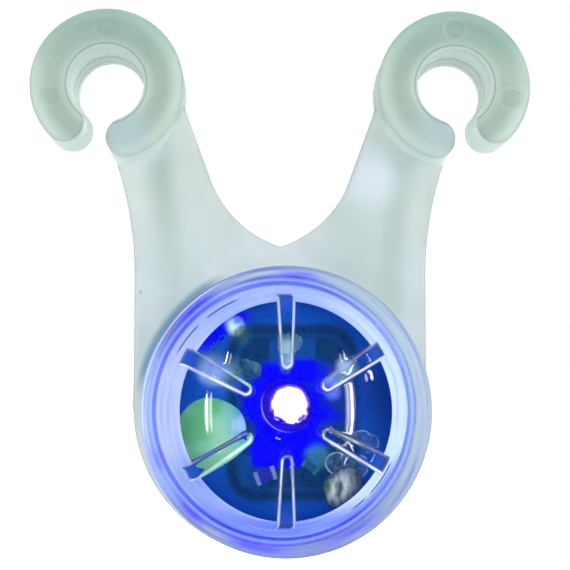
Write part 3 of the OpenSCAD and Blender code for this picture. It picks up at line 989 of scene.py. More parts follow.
def arm_colour(tree, mottle):
    """Arms and plate: milky white with slow clouds, greyer on the right, with painted shade in the channel,
    painted bluish light towards the bottom, two painted sheens, and the lamp's blue shade painted on the
    plate beside the collar."""
    axes = object_axes(tree)
    # Painted light: bluish towards the bottom, where the lamp's light reaches the arms.
    low = ramp_mm(tree, axes["Z"], 12, 24, 1.0, 0.0)
    clouds = ramp(tree, mottle, 0.35, 0.65, 0.0, 0.6)
    grey = both(tree, ramp_mm(tree, axes["X"], 2, 8, 0.0, 0.7),
                ramp_mm(tree, axes["X"], 10.5, 13.5, 1.0, 0.2))
    # The channel's darker band below is painted shade.
    run_x = calc(tree, "SUBTRACT", calc(tree, "ABSOLUTE", axes["X"]), channel_at[0] * MM)
    run_z = calc(tree, "SUBTRACT", axes["Z"], channel_at[1] * MM)
    across = calc(tree, "SUBTRACT", both(tree, run_x, math.cos(channel_lean)),
                  both(tree, run_z, math.sin(channel_lean)))
    channel = ramp_mm(tree, calc(tree, "ABSOLUTE", across), 0.2, 2.4, 1.0, 0.0)
    channel = both(tree, channel, ramp_mm(tree, axes["Z"], 11, 23, 0.3, 1.0))
    # Painted highlights: two pale sheens on the arms.
    sheen = both(tree, spots(tree, sheen_places), 0.7)
    # Painted shade: the lamp's blue shade on the plate beside the collar.
    beside = both(tree, spot(tree, shade_at, 4.6, 8.2), spot(tree, lamp_at, 14.5, 15.2),
                  ramp_mm(tree, axes["Y"], -2.4, -3.2))
    return layers(tree, srgb(230, 238, 235), (low, srgb(226, 239, 242)), (clouds, srgb(204, 220, 218)),
                  (grey, srgb(196, 214, 212)), (channel, srgb(192, 209, 205)), (sheen, srgb(232, 242, 255)),
                  (beside, srgb(92, 146, 180)))


# %% [markdown]
# Near the lamp the rubber carries the LED's light. No lamp in the scene could show that in every view, so
# it is painted: a violet collar, brighter patches along its rim, and a soft glow in the gap round the lens.

# %% Collar and its light
glow_patches = ((-8.6, 9.7, 3.2), (1.0, 12.9, 3.0), (-12.2, -4.6, 1.8), (-9.0, -9.4, 2.6), (-2.8, -12.7, 4.6),
                (6.5, -11.3, 4.4))
glow_ring = 13.0
rim_line_r = 13.62
rim_line_at = (-11.0, 6.0)
left_rim_at = (-13.6, -1.5)
deep_violet_at = (1.0, -13.2)


def off_collar(tree):
    """Mask that is 0 on the collar and 1 away from it."""
    return ramp_mm(tree, distance_from(tree, lamp_at), 14.0, 14.4)


def collar_colour(tree, base):
    """Collar over the base: violet on the left, pale on the right, deeper below, streaked round the axis."""
    axes = object_axes(tree)
    on_collar = both(tree, spot(tree, lamp_at, 14.1, 14.6), ramp_mm(tree, axes["Y"], -4.3, -5.0))
    slanted = calc(tree, "ADD", axes["X"], both(tree, axes["Z"], 0.35))
    streaks = use_streaks(tree, 1.3, 2600.0)
    low = both(tree, spot(tree, deep_violet_at, 3.0, 9.0), 0.7)
    violet = layers(tree, srgb(138, 156, 240), (ramp_mm(tree, slanted, 2, 13), srgb(184, 210, 242)),
                    (ramp(tree, streaks, 0.52, 0.68, 0.0, 0.8), srgb(206, 218, 252)),
                    (ramp(tree, streaks, 0.32, 0.46, 0.7, 0.0), srgb(112, 130, 234)),
                    (low, srgb(108, 130, 244)))
    return mix(tree, on_collar, base, violet)


def rubber_light(tree, wall):
    """Painted light in the rubber: a mask of the LED's long violet patches, and the colour of all that
    glows, with painted light under the hooks and on the collar's left, and a painted highlight on the rim.
    """
    axes = object_axes(tree)
    ring = distance_from(tree, lamp_at)
    forward = ramp_mm(tree, axes["Y"], -6.0, -9.0)
    places = [((x + lamp_at[0], y + lamp_at[1]), r * 0.15, r) for x, y, r in glow_patches]
    uneven = ramp(tree, use_streaks(tree, 1.6, 1700.0), 0.35, 0.6, 0.15, 1.0)
    glow = both(tree, line_at(tree, ring, glow_ring, 0.1, 0.55), forward, spots(tree, places), uneven)
    # Painted light: the walls under the hooks glow pale.
    under = both(tree, wall, ramp_mm(tree, axes["Z"], eye_y - 2.5, eye_y - 4.5, 0.0, 0.22))
    # Painted light on the outer left of the collar.
    left_rim = both(tree, spot(tree, left_rim_at, 5.0, 10.0), inverse(tree, off_collar(tree)),
                    inverse(tree, spot(tree, lamp_at, 12.6, 12.9)), ramp_mm(tree, axes["Y"], -5.0, -7.0))
    in_gap = both(tree, spot(tree, axis_at, lip_r + 0.05, lip_r + 0.35), forward, 0.55)
    # Painted highlight: a white line along the rim's outer edge.
    rim_line = both(tree, line_at(tree, ring, rim_line_r, 0.02, 0.08), spot(tree, rim_line_at, 6.0, 12.0),
                    forward, 0.5)
    light = layers(tree, black, (both(tree, glow, 0.4), (0.03, 0.02, 1.0, 1)),
                   (under, srgb(226, 240, 246)), (left_rim, (0.12, 0.165, 0.3, 1)),
                   (in_gap, srgb(164, 178, 246)), (rim_line, white))
    return glow, light


# %% Milky rubber of the holder


def dark_specks(tree):
    """A few tiny inclusions: the middles of Voronoi cells, kept only where slow noise is high."""
    inputs = {"Vector": object_coords(tree), "Scale": 210.0}
    cells = add(tree, "TexVoronoi", None, inputs).outputs["Distance"]
    return both(tree, ramp(tree, cells, 0.02, 0.05, 1.0, 0.0), cloud(tree, 90.0, 0.48, 0.58, 0.0, 1.0))


def milky_rubber():
    """Rough translucent rubber: colour by place, painted shade at grazing angles, paler outer walls of the
    hooks as painted light, fine grain, specks and painted glow.
    """
    material, tree, shader = new_material("milky_rubber", IOR=1.41, Transmission_Weight=0.72,
                                          Emission_Strength=1.0)
    height, mottle = use_grain(tree, 1500.0, 170.0)
    depth = object_axes(tree)["Y"]
    from_eye = side_distance(tree, (eye_x, eye_y))
    facing = add(tree, "LayerWeight", None, {"Blend": 0.5}).outputs["Facing"]
    off_bore = ramp_mm(tree, from_eye, eye_r + 0.1, eye_r + 0.3)
    # Painted shade: darker where the surface is seen at a grazing angle.
    grazing = both(tree, ramp(tree, facing, 0.3, 0.8, 0.0, 0.75), off_bore, off_collar(tree))
    # Painted light: the outer walls of the hooks are made paler.
    wall = both(tree, ramp_mm(tree, from_eye, hook_r, hook_r + 0.2, 0.85, 0.0), off_bore,
                ramp_mm(tree, depth, -6.4, -6.0), ramp_mm(tree, depth, -0.6, -0.2, 1.0, 0.0))
    glow, light = rubber_light(tree, wall)
    colour = collar_colour(tree, hook_colour(tree, arm_colour(tree, mottle)))
    colour = layers(tree, colour, (grazing, srgb(122, 150, 142)), (wall, srgb(208, 227, 224)),
                    (dark_specks(tree), srgb(84, 104, 98)), (glow, srgb(74, 76, 236)))
    rough = ramp(tree, mottle, 0.2, 0.8, 0.36, 0.5)
    paint(tree, shader, Base_Color=colour, Emission_Color=light, Roughness=rough)
    bump(tree, shader, height, 0.05, 0.25)
    return material


dress(holder, milky_rubber())

# %% [markdown]
# The lens is clear plastic. Its dome and ribs are polished; its wall below the shoulder is frosted, and its
# pale violet glow, from the LED that shines into it from the side, is painted. The two finishes are two
# slots, and each face takes one by its distance from the axis. The ribs' edges catch the room's light as
# white lines, so the mesh carries a number that is 1 on those edges, and the clear finish paints a highlight
# there.

# %% Clear plastic of the lens
# Places of the two painted reflections on the dome.
lens_reflection_places = (((-6.3, 3.7), 0.2, 1.9), ((5.6, 4.2), 0.1, 1.1))
cloudy_places = (((0.4, 5.2), 0.6, 2.0), ((5.3, 3.3), 0.6, 2.2))


def clear_plastic():
    """Polished clear plastic: faint smudges in its gloss, painted highlights on the rib edges, two ribs
    cloudy at the inner end with a painted glow, painted blue light in the outer ends and two painted
    reflections."""
    material, tree, shader = new_material("clear_lens", IOR=1.49, Transmission_Weight=1.0,
                                          Emission_Strength=0.9)
    mottle = use_grain(tree, 500.0, 220.0)[1]
    clear = mix(tree, mottle, srgb(244, 248, 255), srgb(252, 253, 255))
    rough = ramp(tree, mottle, 0.45, 0.75, 0.005, 0.04)
    top = add(tree, "Attribute", {"attribute_name": "rib_top"}).outputs["Fac"]
    edge = add(tree, "Attribute", {"attribute_name": "rib_edge"}).outputs["Fac"]
    # Painted highlights along the rib edges.
    edge = both(tree, ramp(tree, edge, 0.15, 0.85), cloud(tree, 380.0, 0.35, 0.6, 0.5, 1.0))
    outward = both(tree, top, ramp_mm(tree, distance_from(tree, axis_at), 8.5, 10.4, 0.0, 0.3))
    # Painted reflections: two pale patches of light on the dome.
    lens_reflection = both(tree, spots(tree, lens_reflection_places), cloud(tree, 260.0, 0.3, 0.65, 0.1, 0.58))
    # The inner ends of two ribs are cloudy, and their light is painted as a glow.
    cloudy = both(tree, top, spots(tree, cloudy_places), cloud(tree, 800.0, 0.3, 0.65, 0.2, 0.75))
    light = layers(tree, black, (outward, (0.08, 0.2, 0.9, 1)), (lens_reflection, srgb(196, 220, 240)),
                   (cloudy, srgb(150, 192, 188)), (edge, srgb(244, 250, 255)))
    paint(tree, shader, Base_Color=clear, Emission_Color=light, Roughness=rough)
    return material


# %% Frosted plastic of the lens
seam_r = 11.15
low_line_r = 11.65
low_line_at = (8.0, -8.6)
dim_at = (-9.0, -8.2)
seam_places = (((-7.4, 8.3), 3.2, 4.2), ((8.6, -7.2), 2.4, 3.2))


def frosted_plastic():
    """Frosted wall of the lens: the LED's violet light painted by place, streaked round the axis, with two
    dark seam lines.
    """
    material, tree, shader = new_material("frosted_lens_wall", Emission_Strength=0.05)
    height, mottle = use_grain(tree, 1600.0, 150.0)
    axes = object_axes(tree)
    ring = distance_from(tree, axis_at)
    streaks = use_streaks(tree, 1.2, 2200.0)
    # Painted LED light: violet high on the left, a dim patch, deep blue low, a violet streak low on the
    # right.
    high = both(tree, ramp_mm(tree, axes["Z"], 3, 10, 0.0, 0.7), ramp_mm(tree, axes["X"], 2, 7, 1.0, 0.2))
    low = ramp_mm(tree, axes["Z"], -10.6, -7.6, 0.9, 0.0)
    low_line = both(tree, line_at(tree, ring, low_line_r, 0.2, 0.35), spot(tree, low_line_at, 2.5, 6.5), 0.8)
    seam = both(tree, line_at(tree, ring, seam_r, 0.03, 0.07), cloud(tree, 420.0, 0.4, 0.5, 0.0, 1.0),
                spots(tree, seam_places))
    colour = layers(tree, srgb(168, 184, 238), (ramp_mm(tree, axes["X"], -8, 11), srgb(186, 208, 232)),
                    (high, srgb(132, 156, 230)), (spot(tree, dim_at, 1.0, 6.0), srgb(124, 150, 220)),
                    (low, srgb(78, 108, 232)),
                    (ramp(tree, streaks, 0.5, 0.68, 0.0, 0.5), srgb(184, 200, 248)),
                    (ramp(tree, streaks, 0.32, 0.46, 0.5, 0.0), srgb(126, 148, 232)),
                    (low_line, srgb(92, 108, 238)), (seam, srgb(40, 60, 120)))
    light = mix(tree, mottle, srgb(40, 44, 255), srgb(90, 110, 255))
    rough = ramp(tree, height, 0.3, 0.7, 0.3, 0.42)
    paint(tree, shader, Base_Color=colour, Emission_Color=light, Roughness=rough)
    bump(tree, shader, height, 0.05, 0.2)
    return material


# %% Share the two finishes among the lens's faces
frost_from = 9.98
rib_end = rib_fade[0] + 0.1
dome_from = dome_centre + dome_r * 0.75
dress(lens, clear_plastic(), frosted_plastic())
mid_r, mid_z = ((profile[1:] + profile[:-1]) / 2).T
top_side = mid_z > np.where(mid_r > window_r, flange_z, dome_from)
outer_side = np.hypot(mid_r, mid_z - dome_centre) > dome_r - lens_wall / 2
walled = (mid_r > frost_from) & top_side & (outer_side | (mid_r > window_r))
around = (np.arange(lens_around) + 0.5) * 2 * np.pi / lens_around
bare = rib_mask(mid_r[:, None] * np.cos(around), mid_r[:, None] * np.sin(around)) < 0.5
frosted = walled[:, None] & (bare | (mid_r > rib_end)[:, None])
slots = np.zeros(len(lens.data.polygons), np.int32)
slots[:frosted.size] = frosted.ravel()
lens.data.polygons.foreach_set("material_index", slots)
print("frosted faces of the lens:", int(frosted.sum()))

# %% [markdown]
# The circuit board is dark blue under a glossy mask. Copper under the mask shows as a lighter ring and as
# lighter fields, and the LED floods the middle with saturated blue. That light is painted as an emission
# with an uneven edge, because the real flood is cut by the parts and tracks round the LED.

# %% Copper of the board
field_at = (1.0, -0.2)
copper_shade_at = (9.8, 1.5)
field_shade_at = (7.0, 1.0)
pad_places = (((1.0, 5.0), (2.0, 1.5), 0.4, 0.3), ((-2.6, -5.6), (1.1, 1.3), 0.3, 0.3))


def board_copper(tree, mottle):
    """Copper under the mask: bright outside, a dark field with a lighter line in it, and two lighter pads;
    returns the colour and the field's mask."""
    copper = layers(tree, mix(tree, mottle, srgb(0, 104, 232), srgb(0, 118, 250)),
                    (ramp_mm(tree, object_axes(tree)["Z"], -2, -7), srgb(0, 108, 234)),
                    (spot(tree, copper_shade_at, 1.0, 6.0), srgb(4, 80, 204)))
    dark = mix(tree, mottle, srgb(0, 58, 116), srgb(0, 76, 140))
    dark = mix(tree, spot(tree, field_shade_at, 1.5, 5.5), dark, srgb(8, 60, 168))
    track = mix(tree, mottle, srgb(0, 84, 170), srgb(4, 98, 196))
    field = patch(tree, field_at, (5.7, 7.7), 2.6, 0.9)
    line = both(tree, patch(tree, field_at, (5.1, 7.1), 2.0, 0.4),
                inverse(tree, patch(tree, field_at, (4.7, 6.7), 1.8, 0.4)), 0.6)
    return layers(tree, copper, (field, dark), (line, track), (patches(tree, pad_places), track)), field


# %% The LED's flood
flood_at = (0.5, -0.1)
mirror_at = (-5.5, 7.3)
lit_fields = (((-0.3, -3.7), (2.3, 1.4), 0.3, 0.4), ((2.0, 3.6), (1.1, 0.8), 0.4, 0.7))


def led_flood(tree):
    """Where the LED floods the board: a disc with a wandering edge, a field below it and one above it, and a
    speckled mirror image near the window's edge."""
    wander = cloud(tree, 330.0, 0.3, 0.7, -1.1 * MM, 1.1 * MM)
    reach = calc(tree, "ADD", distance_from(tree, flood_at), wander)
    outward = ramp_mm(tree, distance_from(tree, axis_at), 7.9, 9.6, -0.3, 0.3)
    speckle = calc(tree, "ADD", noise(tree, 3000.0), outward)
    mirrored = both(tree, spot(tree, mirror_at, 2.2, 3.4), ramp(tree, speckle, 0.45, 0.55))
    round_led = ramp_mm(tree, reach, 3.4, 5.2, 1.0, 0.0)
    return largest(tree, round_led, patches(tree, lit_fields), mirrored)


# %% Clear loops on the board
clear_discs = (((7.4, -2.6), 0.8), ((8.2, -3.1), 0.75), ((5.2, -5.0), 1.05), ((6.0, -5.05), 1.1),
               ((6.8, -5.15), 1.1))


def clear_loops(tree):
    """Outline and film of clear loops: the nearest edge of several discs, moved in and out by slow noise."""
    edges = [calc(tree, "SUBTRACT", distance_from(tree, at), r * MM) for at, r in clear_discs]
    wave = cloud(tree, 300.0, 0.2, 0.8, -0.22 * MM, 0.22 * MM)
    inside = calc(tree, "ADD", fold(tree, "MINIMUM", edges), wave)
    outline = both(tree, line_at(tree, inside, 0.0, 0.03, 0.08), cloud(tree, 600.0, 0.35, 0.6, 0.3, 0.95))
    film = both(tree, ramp_mm(tree, inside, -0.1, 0.0, 1.0, 0.0), cloud(tree, 1900.0, 0.35, 0.65, 0.08, 0.55))
    return outline, film


# %% Board
board_reflection_places = (((4.75, 1.7), 0.2, 1.1), ((-5.0, 3.4), 0.2, 2.2))
leaf_places = (((-6.7, 5.0), 0.3, 1.6), ((-3.9, 7.0), 0.1, 1.5))
teal_at = (3.3, -4.3)
spark_at = (-4.4, 7.8)


def circuit_blue():
    """Blue solder mask over copper, the LED's flood, what lies on the board, and painted reflections
    and glints.
    """
    material, tree, shader = new_material("circuit_board", Emission_Strength=1.0, Specular_IOR_Level=0.2)
    height, mottle = use_grain(tree, 2500.0, 140.0)
    copper, field = board_copper(tree, mottle)
    flood = led_flood(tree)
    outline, film = clear_loops(tree)
    # Painted reflections: two pale patches of light on the board.
    board_reflection = both(tree, spots(tree, board_reflection_places), cloud(tree, 300.0, 0.3, 0.6, 0.2, 0.7))
    teal = both(tree, spot(tree, teal_at, 0.5, 1.6), cloud(tree, 300.0, 0.3, 0.6, 0.5, 0.9))
    leaf = both(tree, spots(tree, leaf_places), cloud(tree, 500.0, 0.35, 0.6, 0.2, 0.8))
    # Painted reflection: a white-green glint near the upper left, which also glows.
    spark = both(tree, spot(tree, spark_at, 0.1, 1.15), cloud(tree, 900.0, 0.35, 0.55, 0.3, 1.0))
    colour = layers(tree, copper, (flood, (0.0, 0.0, 0.05, 1)), (board_reflection, srgb(150, 196, 214)),
                    (teal, srgb(84, 186, 196)), (film, srgb(130, 164, 190)), (outline, srgb(190, 220, 232)),
                    (leaf, srgb(80, 150, 136)), (spark, srgb(206, 240, 226)))
    spread = ramp_mm(tree, distance_from(tree, axis_at), 4, 11, 0.06, 0.03)
    lit = both(tree, flood, inverse(tree, teal))
    light = layers(tree, black, (spread, (0.0, 0.2, 0.6, 1)), (lit, (0.0, 0.0, 1.0, 1)),
                   (spark, (0.45, 0.75, 0.6, 1)))
    rough = ramp(tree, height, 0.3, 0.7, 0.25, 0.4)
    paint(tree, shader, Base_Color=colour, Emission_Color=light, Roughness=rough)
    bump(tree, shader, field, 0.04, 0.15)
    return material


dress(nodes["board"], circuit_blue())

# %% [markdown]
# The LED is clear epoxy lit from inside. A camera sees its core as plain white with a ragged edge and the
# epoxy round it as deep blue, so both are painted as light. The drop over the chip is cloudy green epoxy that
# takes some blue on the side towards the LED; that blue, a glint and a faint glow of its own colour are
# painted as light.

# %% Lit LED
led_top = led_lean * led_h * 0.9
bright_arc_at = (-1.4, -0.9)
glint_at = (-0.25, -2.68)
glint_tail_at = (-0.5, -2.55)


def lit_epoxy():
    """Blue epoxy lit from inside: a ragged white core under the tip, a violet halo, deep blue round it, and
    the bright arc and glint of the flange."""
    material, tree, shader = new_material("lit_led", Emission_Strength=1.0, Roughness=0.15)
    from_top = distance_from(tree, led_top)
    uneven = ramp_mm(tree, object_axes(tree)["Z"], led_top[1] - 1.6, led_top[1] + 0.6, 0.26 * MM, 0.04 * MM)
    ragged = calc(tree, "ADD", from_top, both(tree, uneven, cloud(tree, 1800.0, 0.3, 0.7, -1.0, 1.0)))
    core = ramp_mm(tree, ragged, 1.45, 1.66, 1.0, 0.0)
    halo = ramp_mm(tree, ragged, 1.56, 1.9, 1.0, 0.0)
    deep = both(tree, ramp_mm(tree, from_top, 2.4, 3.0, 1.0, 0.0), cloud(tree, 700.0, 0.35, 0.65, 0.4, 1.0))
    bright_arc = both(tree, line_at(tree, from_top, 2.5, 0.02, 0.08), spot(tree, bright_arc_at, 1.2, 2.8))
    tail = both(tree, spot(tree, glint_tail_at, 0.02, 0.16), 0.6)
    glint = largest(tree, spot(tree, glint_at, 0.04, 0.15), tail)
    light = layers(tree, (0.0, 0.0, 0.95, 1), (deep, (0.014, 0.0, 0.5, 1)), (bright_arc, srgb(140, 120, 255)),
                   (halo, srgb(150, 100, 255)), (core, (1.6, 1.5, 1.6, 1)), (glint, white))
    epoxy = mix(tree, core, (0.0, 0.0, 0.2, 1), (0.4, 0.4, 0.6, 1))
    paint(tree, shader, Base_Color=epoxy, Emission_Color=light)
    return material


lit_led = lit_epoxy()
dress(led_piece, lit_led)
dress(nodes["led_die"], lit_led)

# %% Green drop
led_side_at = (0.0, -0.5)
drop_glint_at = (-3.7, -1.3)


def green_drop():
    """Glossy green epoxy with slow clouds of colour, a paler, bluish side towards the LED in painted light, a
    painted glint, and a faint painted glow in its own colour.
    """
    material, tree, shader = new_material("green_drop", Emission_Strength=0.34)
    mottle = use_grain(tree, 800.0, 240.0)[1]
    # Painted light: the side towards the LED is paler and bluish, and a painted glint lies on the drop.
    lit = ramp_mm(tree, distance_from(tree, led_side_at), 3.8, 6.0, 1.0, 0.0)
    colour = layers(tree, srgb(106, 202, 132), (ramp(tree, mottle, 0.3, 0.7), srgb(164, 234, 194)),
                    (lit, srgb(112, 204, 206)), (spot(tree, drop_glint_at, 0.2, 1.2), srgb(190, 232, 255)))
    rough = ramp(tree, mottle, 0.3, 0.7, 0.08, 0.18)
    # The drop also glows in its own colour, as painted light.
    paint(tree, shader, Base_Color=colour, Emission_Color=colour, Roughness=rough)
    return material


dress(blob, green_drop())

# %% [markdown]
# Solder is bright metal. Its tone and its painted highlights follow a noise stretched one way, and the
# highlights glow a little as painted light. The chips are ceramic with tinned ends, and the LED's blue light
# is painted into their colours; a Mapping node turns the pattern with the chip, which sits askew on the
# board.

# %% Finish of the solder
contact_at = (5.3, -7.2)
bright_at = (5.1, -7.0)
green_edge_at = (4.2, -7.0)


def wet_solder():
    """Solder: pale at the side contact, with painted highlights there that glow a little, and tinted by the
    board's blue light elsewhere.
    """
    material, tree, shader = new_material("wet_solder", Metallic=0.15, Emission_Strength=1.0)
    height, mottle = use_grain(tree, 1800.0, 560.0)
    stretched_along = {"Vector": object_coords(tree), "Rotation": (0, 0.25, 0), "Scale": (2.0, 1.0, 0.7)}
    # Noise stretched one way: it sets the solder's tone, its painted highlights and its bumps.
    run = noise(tree, 700.0, 4.0, add(tree, "Mapping", None, stretched_along).outputs["Vector"])
    # Painted highlights: bright streaks near the side contact, which also glow a little.
    bright = both(tree, ramp(tree, run, 0.4, 0.7), spot(tree, bright_at, 0.5, 2.0))
    pale = layers(tree, srgb(104, 142, 156), (ramp(tree, run, 0.35, 0.6), srgb(178, 204, 206)),
                  (spot(tree, green_edge_at, 0.2, 1.0), srgb(92, 168, 124)), (bright, srgb(240, 244, 234)))
    tinted = mix(tree, ramp(tree, mottle, 0.35, 0.65), srgb(24, 104, 156), srgb(116, 184, 206))
    colour = mix(tree, spot(tree, contact_at, 2.2, 3.0), tinted, pale)
    light = mix(tree, bright, black, (0.36, 0.4, 0.36, 1))
    rough = ramp(tree, height, 0.3, 0.7, 0.2, 0.4)
    paint(tree, shader, Base_Color=colour, Emission_Color=light, Roughness=rough)
    bump(tree, shader, run, 0.15, 0.3)
    return material


dress(solder, wet_solder())

# %% Chips


def chip_ceramic(name, node, turn_deg, cap_from, colour, other, cap_colour):
    """Ceramic chip with tinned end caps, split along the chip's own length."""
    material, tree, shader = new_material(name)
    at = middle(node)
    inputs = {"Vector": object_coords(tree), "Location": (at[0] * MM, 0, at[1] * MM),
              "Rotation": (0, -math.radians(turn_deg), 0)}
    turned = add(tree, "Mapping", {"vector_type": "TEXTURE"}, inputs).outputs["Vector"]
    along = calc(tree, "ABSOLUTE", add(tree, "SeparateXYZ", None, {"Vector": turned}).outputs["X"])
    height, mottle = use_grain(tree, 2600.0, 700.0)
    cap = ramp_mm(tree, along, cap_from, cap_from + 0.03)
    ceramic = layers(tree, mix(tree, mottle, colour, other), (cap, cap_colour))
    paint(tree, shader, Base_Color=ceramic, Roughness=ramp(tree, height, 0.3, 0.7, 0.25, 0.45))
    bump(tree, shader, height, 0.03, 0.3)
    return material


# Ceramic bodies and tinned ends, coloured by the LED's blue light, which is painted in.
dress(nodes["chip_resistor"], chip_ceramic("resistor_chip", "chip_resistor", 20, 0.6,
                                           srgb(14, 40, 206), srgb(36, 66, 226), srgb(146, 176, 248)))
dress(nodes["chip_capacitor"], chip_ceramic("capacitor_chip", "chip_capacitor", -35, 0.48,
                                            srgb(8, 96, 150), srgb(24, 118, 160), srgb(44, 140, 170)))

# %% [markdown]
# The parts behind the board are hardly seen, but they get their own finishes too: satin plastics, tinned
# metal with a slow waviness, and turned rings on the coin cell.

# %% Finishes of the inside parts
turning_per_metre = 30000.0


def satin(name, colour, other, roughness, scale=300.0, **values):
    """Mottled finish between two colours, with fine grain in its gloss and its surface."""
    material, tree, shader = new_material(name, **values)
    height, mottle = use_grain(tree, scale * 5, scale)
    rough = ramp(tree, height, 0.25, 0.75, roughness * 0.75, roughness * 1.25)
    paint(tree, shader, Base_Color=mix(tree, mottle, colour, other), Roughness=rough)
    bump(tree, shader, height, 0.03, 0.2)
    return material


def turned_steel():
    """Nickel-plated steel with fine turned rings round the lamp's axis."""
    material, tree, shader = new_material("turned_steel", Metallic=1.0)
    turning = calc(tree, "SINE", calc(tree, "MULTIPLY", distance_from(tree, axis_at), turning_per_metre))
    nickel = mix(tree, noise(tree, 200.0), srgb(196, 198, 202), srgb(216, 218, 222))
    paint(tree, shader, Base_Color=nickel, Roughness=ramp(tree, turning, -1.0, 1.0, 0.22, 0.34))
    bump(tree, shader, turning, 0.004, 0.4)
    return material


# %% Dress the inside parts
white_plastic = satin("white_plastic", srgb(222, 226, 234), srgb(236, 239, 244), 0.4)
bright_metal = satin("tinned_metal", srgb(196, 200, 205), srgb(224, 227, 230), 0.2, 900.0, Metallic=1.0)
for name in ("battery_case", "board_clip_ring"):
    dress(nodes[name], white_plastic)
for name in ("led_leads", "side_contact", "contact_spring", "switch_cover", "switch_terminals"):
    dress(nodes[name], bright_metal)
dress(nodes["coin_cell"], turned_steel())
dress(nodes["cell_insulator"], satin("insulator_film", srgb(44, 100, 112), srgb(60, 122, 132), 0.5))
dress(nodes["seal_gasket"], satin("gasket_rubber", srgb(222, 225, 230), srgb(234, 236, 240), 0.6))
dress(nodes["switch_body"], satin("switch_black", srgb(28, 29, 32), srgb(40, 41, 45), 0.5))
dress(nodes["switch_plunger"], satin("switch_button", srgb(176, 48, 42), srgb(192, 62, 54), 0.4))

# %% [markdown]
# ## Joining the pieces to the frame
# Each piece rides on the body that carries it and stands for the solid whose place it takes.

# %% Ride and replace
for piece, body, node, slot in (
    (holder, "holder_body", "holder", "holder_rubber"),
    (lens, "light_head", "lens", "lens_clear"),
    (led_piece, "light_head", "led_body", "led_epoxy"),
    (blob, "light_head", "chip_blob", "chip_epoxy"),
    (solder, "light_head", "solder_joints", "solder"),
):
    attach(piece, body)
    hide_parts(node)
    print(piece.name, "rides on", body)

# %% [markdown]
# ## Camera, light and floor
# The camera stands where the photograph was taken from: in front of the lens, below the hooks, so that the
# upper inside of each eye shows. Its focal length is written in pixels of the picture, which is how it was
# measured, and turned into the lens that Blender wants.

# %% Camera
focal_px = 1278.0
frame_px = 570.0
sensor_mm = 36.0
camera_at = (-3.0 * MM, -131 * MM, 3.8 * MM)
aim_at = (0.39 * MM, -6 * MM, 12.11 * MM)

camera_data = bpy.data.cameras.new("camera")
camera_data.sensor_width = sensor_mm
camera_data.lens = sensor_mm * focal_px / frame_px
camera_data.clip_start = 0.005
camera = bpy.data.objects.new("camera", camera_data)
camera.location = camera_at
direction = np.subtract(aim_at, camera_at)
turn_z = math.atan2(-direction[0], direction[1])
tilt = math.atan2(direction[2], math.hypot(direction[0], direction[1]))
camera.rotation_euler = (math.pi / 2 + tilt, 0.0, turn_z)
bpy.context.scene.collection.objects.link(camera)
bpy.context.scene.camera = camera
print("focal length in mm:", round(camera_data.lens, 1))

# %% [markdown]
# Three broad lamps light the surfaces and are hidden from gloss, so that the dome stays clear. What the dome
# shows is a few narrow lamps: an ellipse makes a streak that tapers, and a wider, weaker one just behind it
# softens its edge. Two short ones make the small glints.

# %% Lamps
lamps_aim = (0.0, -0.008, 0.005)


def area_light(name, at, size, power, in_gloss=False):
    """Lamp at a point, turned towards the middle of the object: a rectangle, or an ellipse where gloss
    shows it, so that its streak tapers."""
    light = bpy.data.lights.new(name, "AREA")
    light.shape = "ELLIPSE" if in_gloss else "RECTANGLE"
    light.size, light.size_y = size
    light.energy = power
    lamp = bpy.data.objects.new(name, light)
    lamp.location = at
    towards = np.subtract(lamps_aim, at)
    tip = math.acos(-towards[2] / np.linalg.norm(towards))
    lamp.rotation_euler = (tip, 0.0, math.atan2(-towards[0], towards[1]))
    lamp.visible_glossy = in_gloss
    lamp.visible_transmission = in_gloss
    bpy.context.scene.collection.objects.link(lamp)


area_light("key_left", (-0.35, -0.45, 0.45), (0.3, 0.3), 2.2)
area_light("fill_right", (0.45, -0.4, 0.2), (0.3, 0.3), 1.0)
area_light("back_fill", (0.25, 0.5, 0.35), (0.4, 0.4), 6.0)
area_light("streak_left", (-0.35, -0.37, -0.02), (0.012, 0.19), 0.2, True)
area_light("streak_left_soft", (-0.36, -0.38, -0.02), (0.03, 0.22), 0.06, True)
area_light("streak_right", (0.34, -0.38, 0.0), (0.014, 0.6), 0.64, True)
area_light("streak_right_soft", (0.35, -0.39, 0.02), (0.036, 0.6), 0.22, True)
area_light("glint_right", (0.42, -0.28, 0.15), (0.02, 0.05), 0.06, True)
area_light("glint_left", (-0.27, -0.39, 0.25), (0.008, 0.08), 0.06, True)
print("lamps:", len(bpy.data.lights))

# %% [markdown]
# Behind the object everything is white, and that white shows through the rubber. In front of it the room is
# dark, so that nothing but the narrow lamps lies on the dome. The world tells its rays apart with a Light
# Path node: the camera sees white, gloss and glass see that room, and surfaces get a plain, even level.

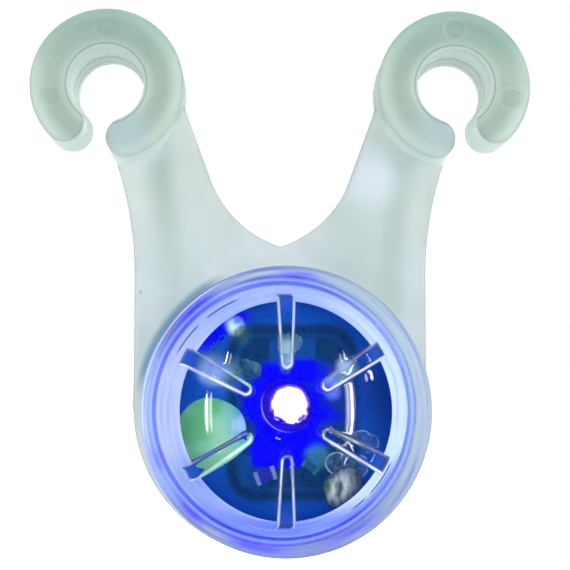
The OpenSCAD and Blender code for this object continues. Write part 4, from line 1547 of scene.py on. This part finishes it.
# %% World
ambient = 0.45
ambient_in_glass = 0.9
room_front = 0.015


def daylight():
    """White world: 1 for the camera; for gloss and glass white behind the object and dark in front of it; a
    plain level for the light that falls on surfaces, and a fuller one where it comes through glass."""
    world = bpy.data.worlds.new("studio")
    world.use_nodes = True
    tree = world.node_tree
    path = add(tree, "LightPath").outputs
    coords = add(tree, "TexCoord").outputs["Generated"]
    ahead = add(tree, "SeparateXYZ", None, {"Vector": coords}).outputs["Y"]
    seen = ramp(tree, ahead, -0.35, 0.3, room_front, 1.0)
    lit = ramp(tree, path["Is Transmission Ray"], 0.0, 1.0, ambient, ambient_in_glass)
    bounced = ramp(tree, path["Diffuse Depth"], 0.4, 0.6)
    level = add(tree, "Mix", None, {0: bounced, 2: seen, 3: lit}).outputs[0]
    background = tree.nodes["Background"].inputs
    feed(tree, background["Strength"], largest(tree, level, path["Is Camera Ray"]))
    background["Color"].default_value = white
    return world


bpy.context.scene.world = daylight()
print("light on surfaces from the world:", ambient)

# %% [markdown]
# The floor is a plain pale sheet a little below the object. It keeps the shadow, and the camera sees it
# almost white, so it runs into the background without a line.

# %% Floor
floor_drop = 0.035
floor_z = cad_box[0][2] - floor_drop
floor_half = 3.0
floor_glow = 0.6
floor_grey = (0.9, 0.9, 0.9, 1)
corner_signs = ((-1, -1), (1, -1), (1, 1), (-1, 1))
floor_corners = [(sx * floor_half, sy * floor_half, floor_z) for sx, sy in corner_signs]
floor_mesh = bpy.data.meshes.new("floor")
floor_mesh.from_pydata(floor_corners, [], [(0, 1, 2, 3)])
floor = bpy.data.objects.new("floor", floor_mesh)
floor.visible_glossy = False
floor.visible_transmission = False
bpy.context.scene.collection.objects.link(floor)
floor_material, floor_tree, floor_shader = new_material("pale_floor", Roughness=0.8, Base_Color=floor_grey,
                                                        Emission_Color=white)
shown = add(floor_tree, "LightPath").outputs["Is Camera Ray"]
paint(floor_tree, floor_shader, Emission_Strength=both(floor_tree, shown, floor_glow))
dress(floor, floor_material)

bpy.context.scene.view_settings.view_transform = "Standard"
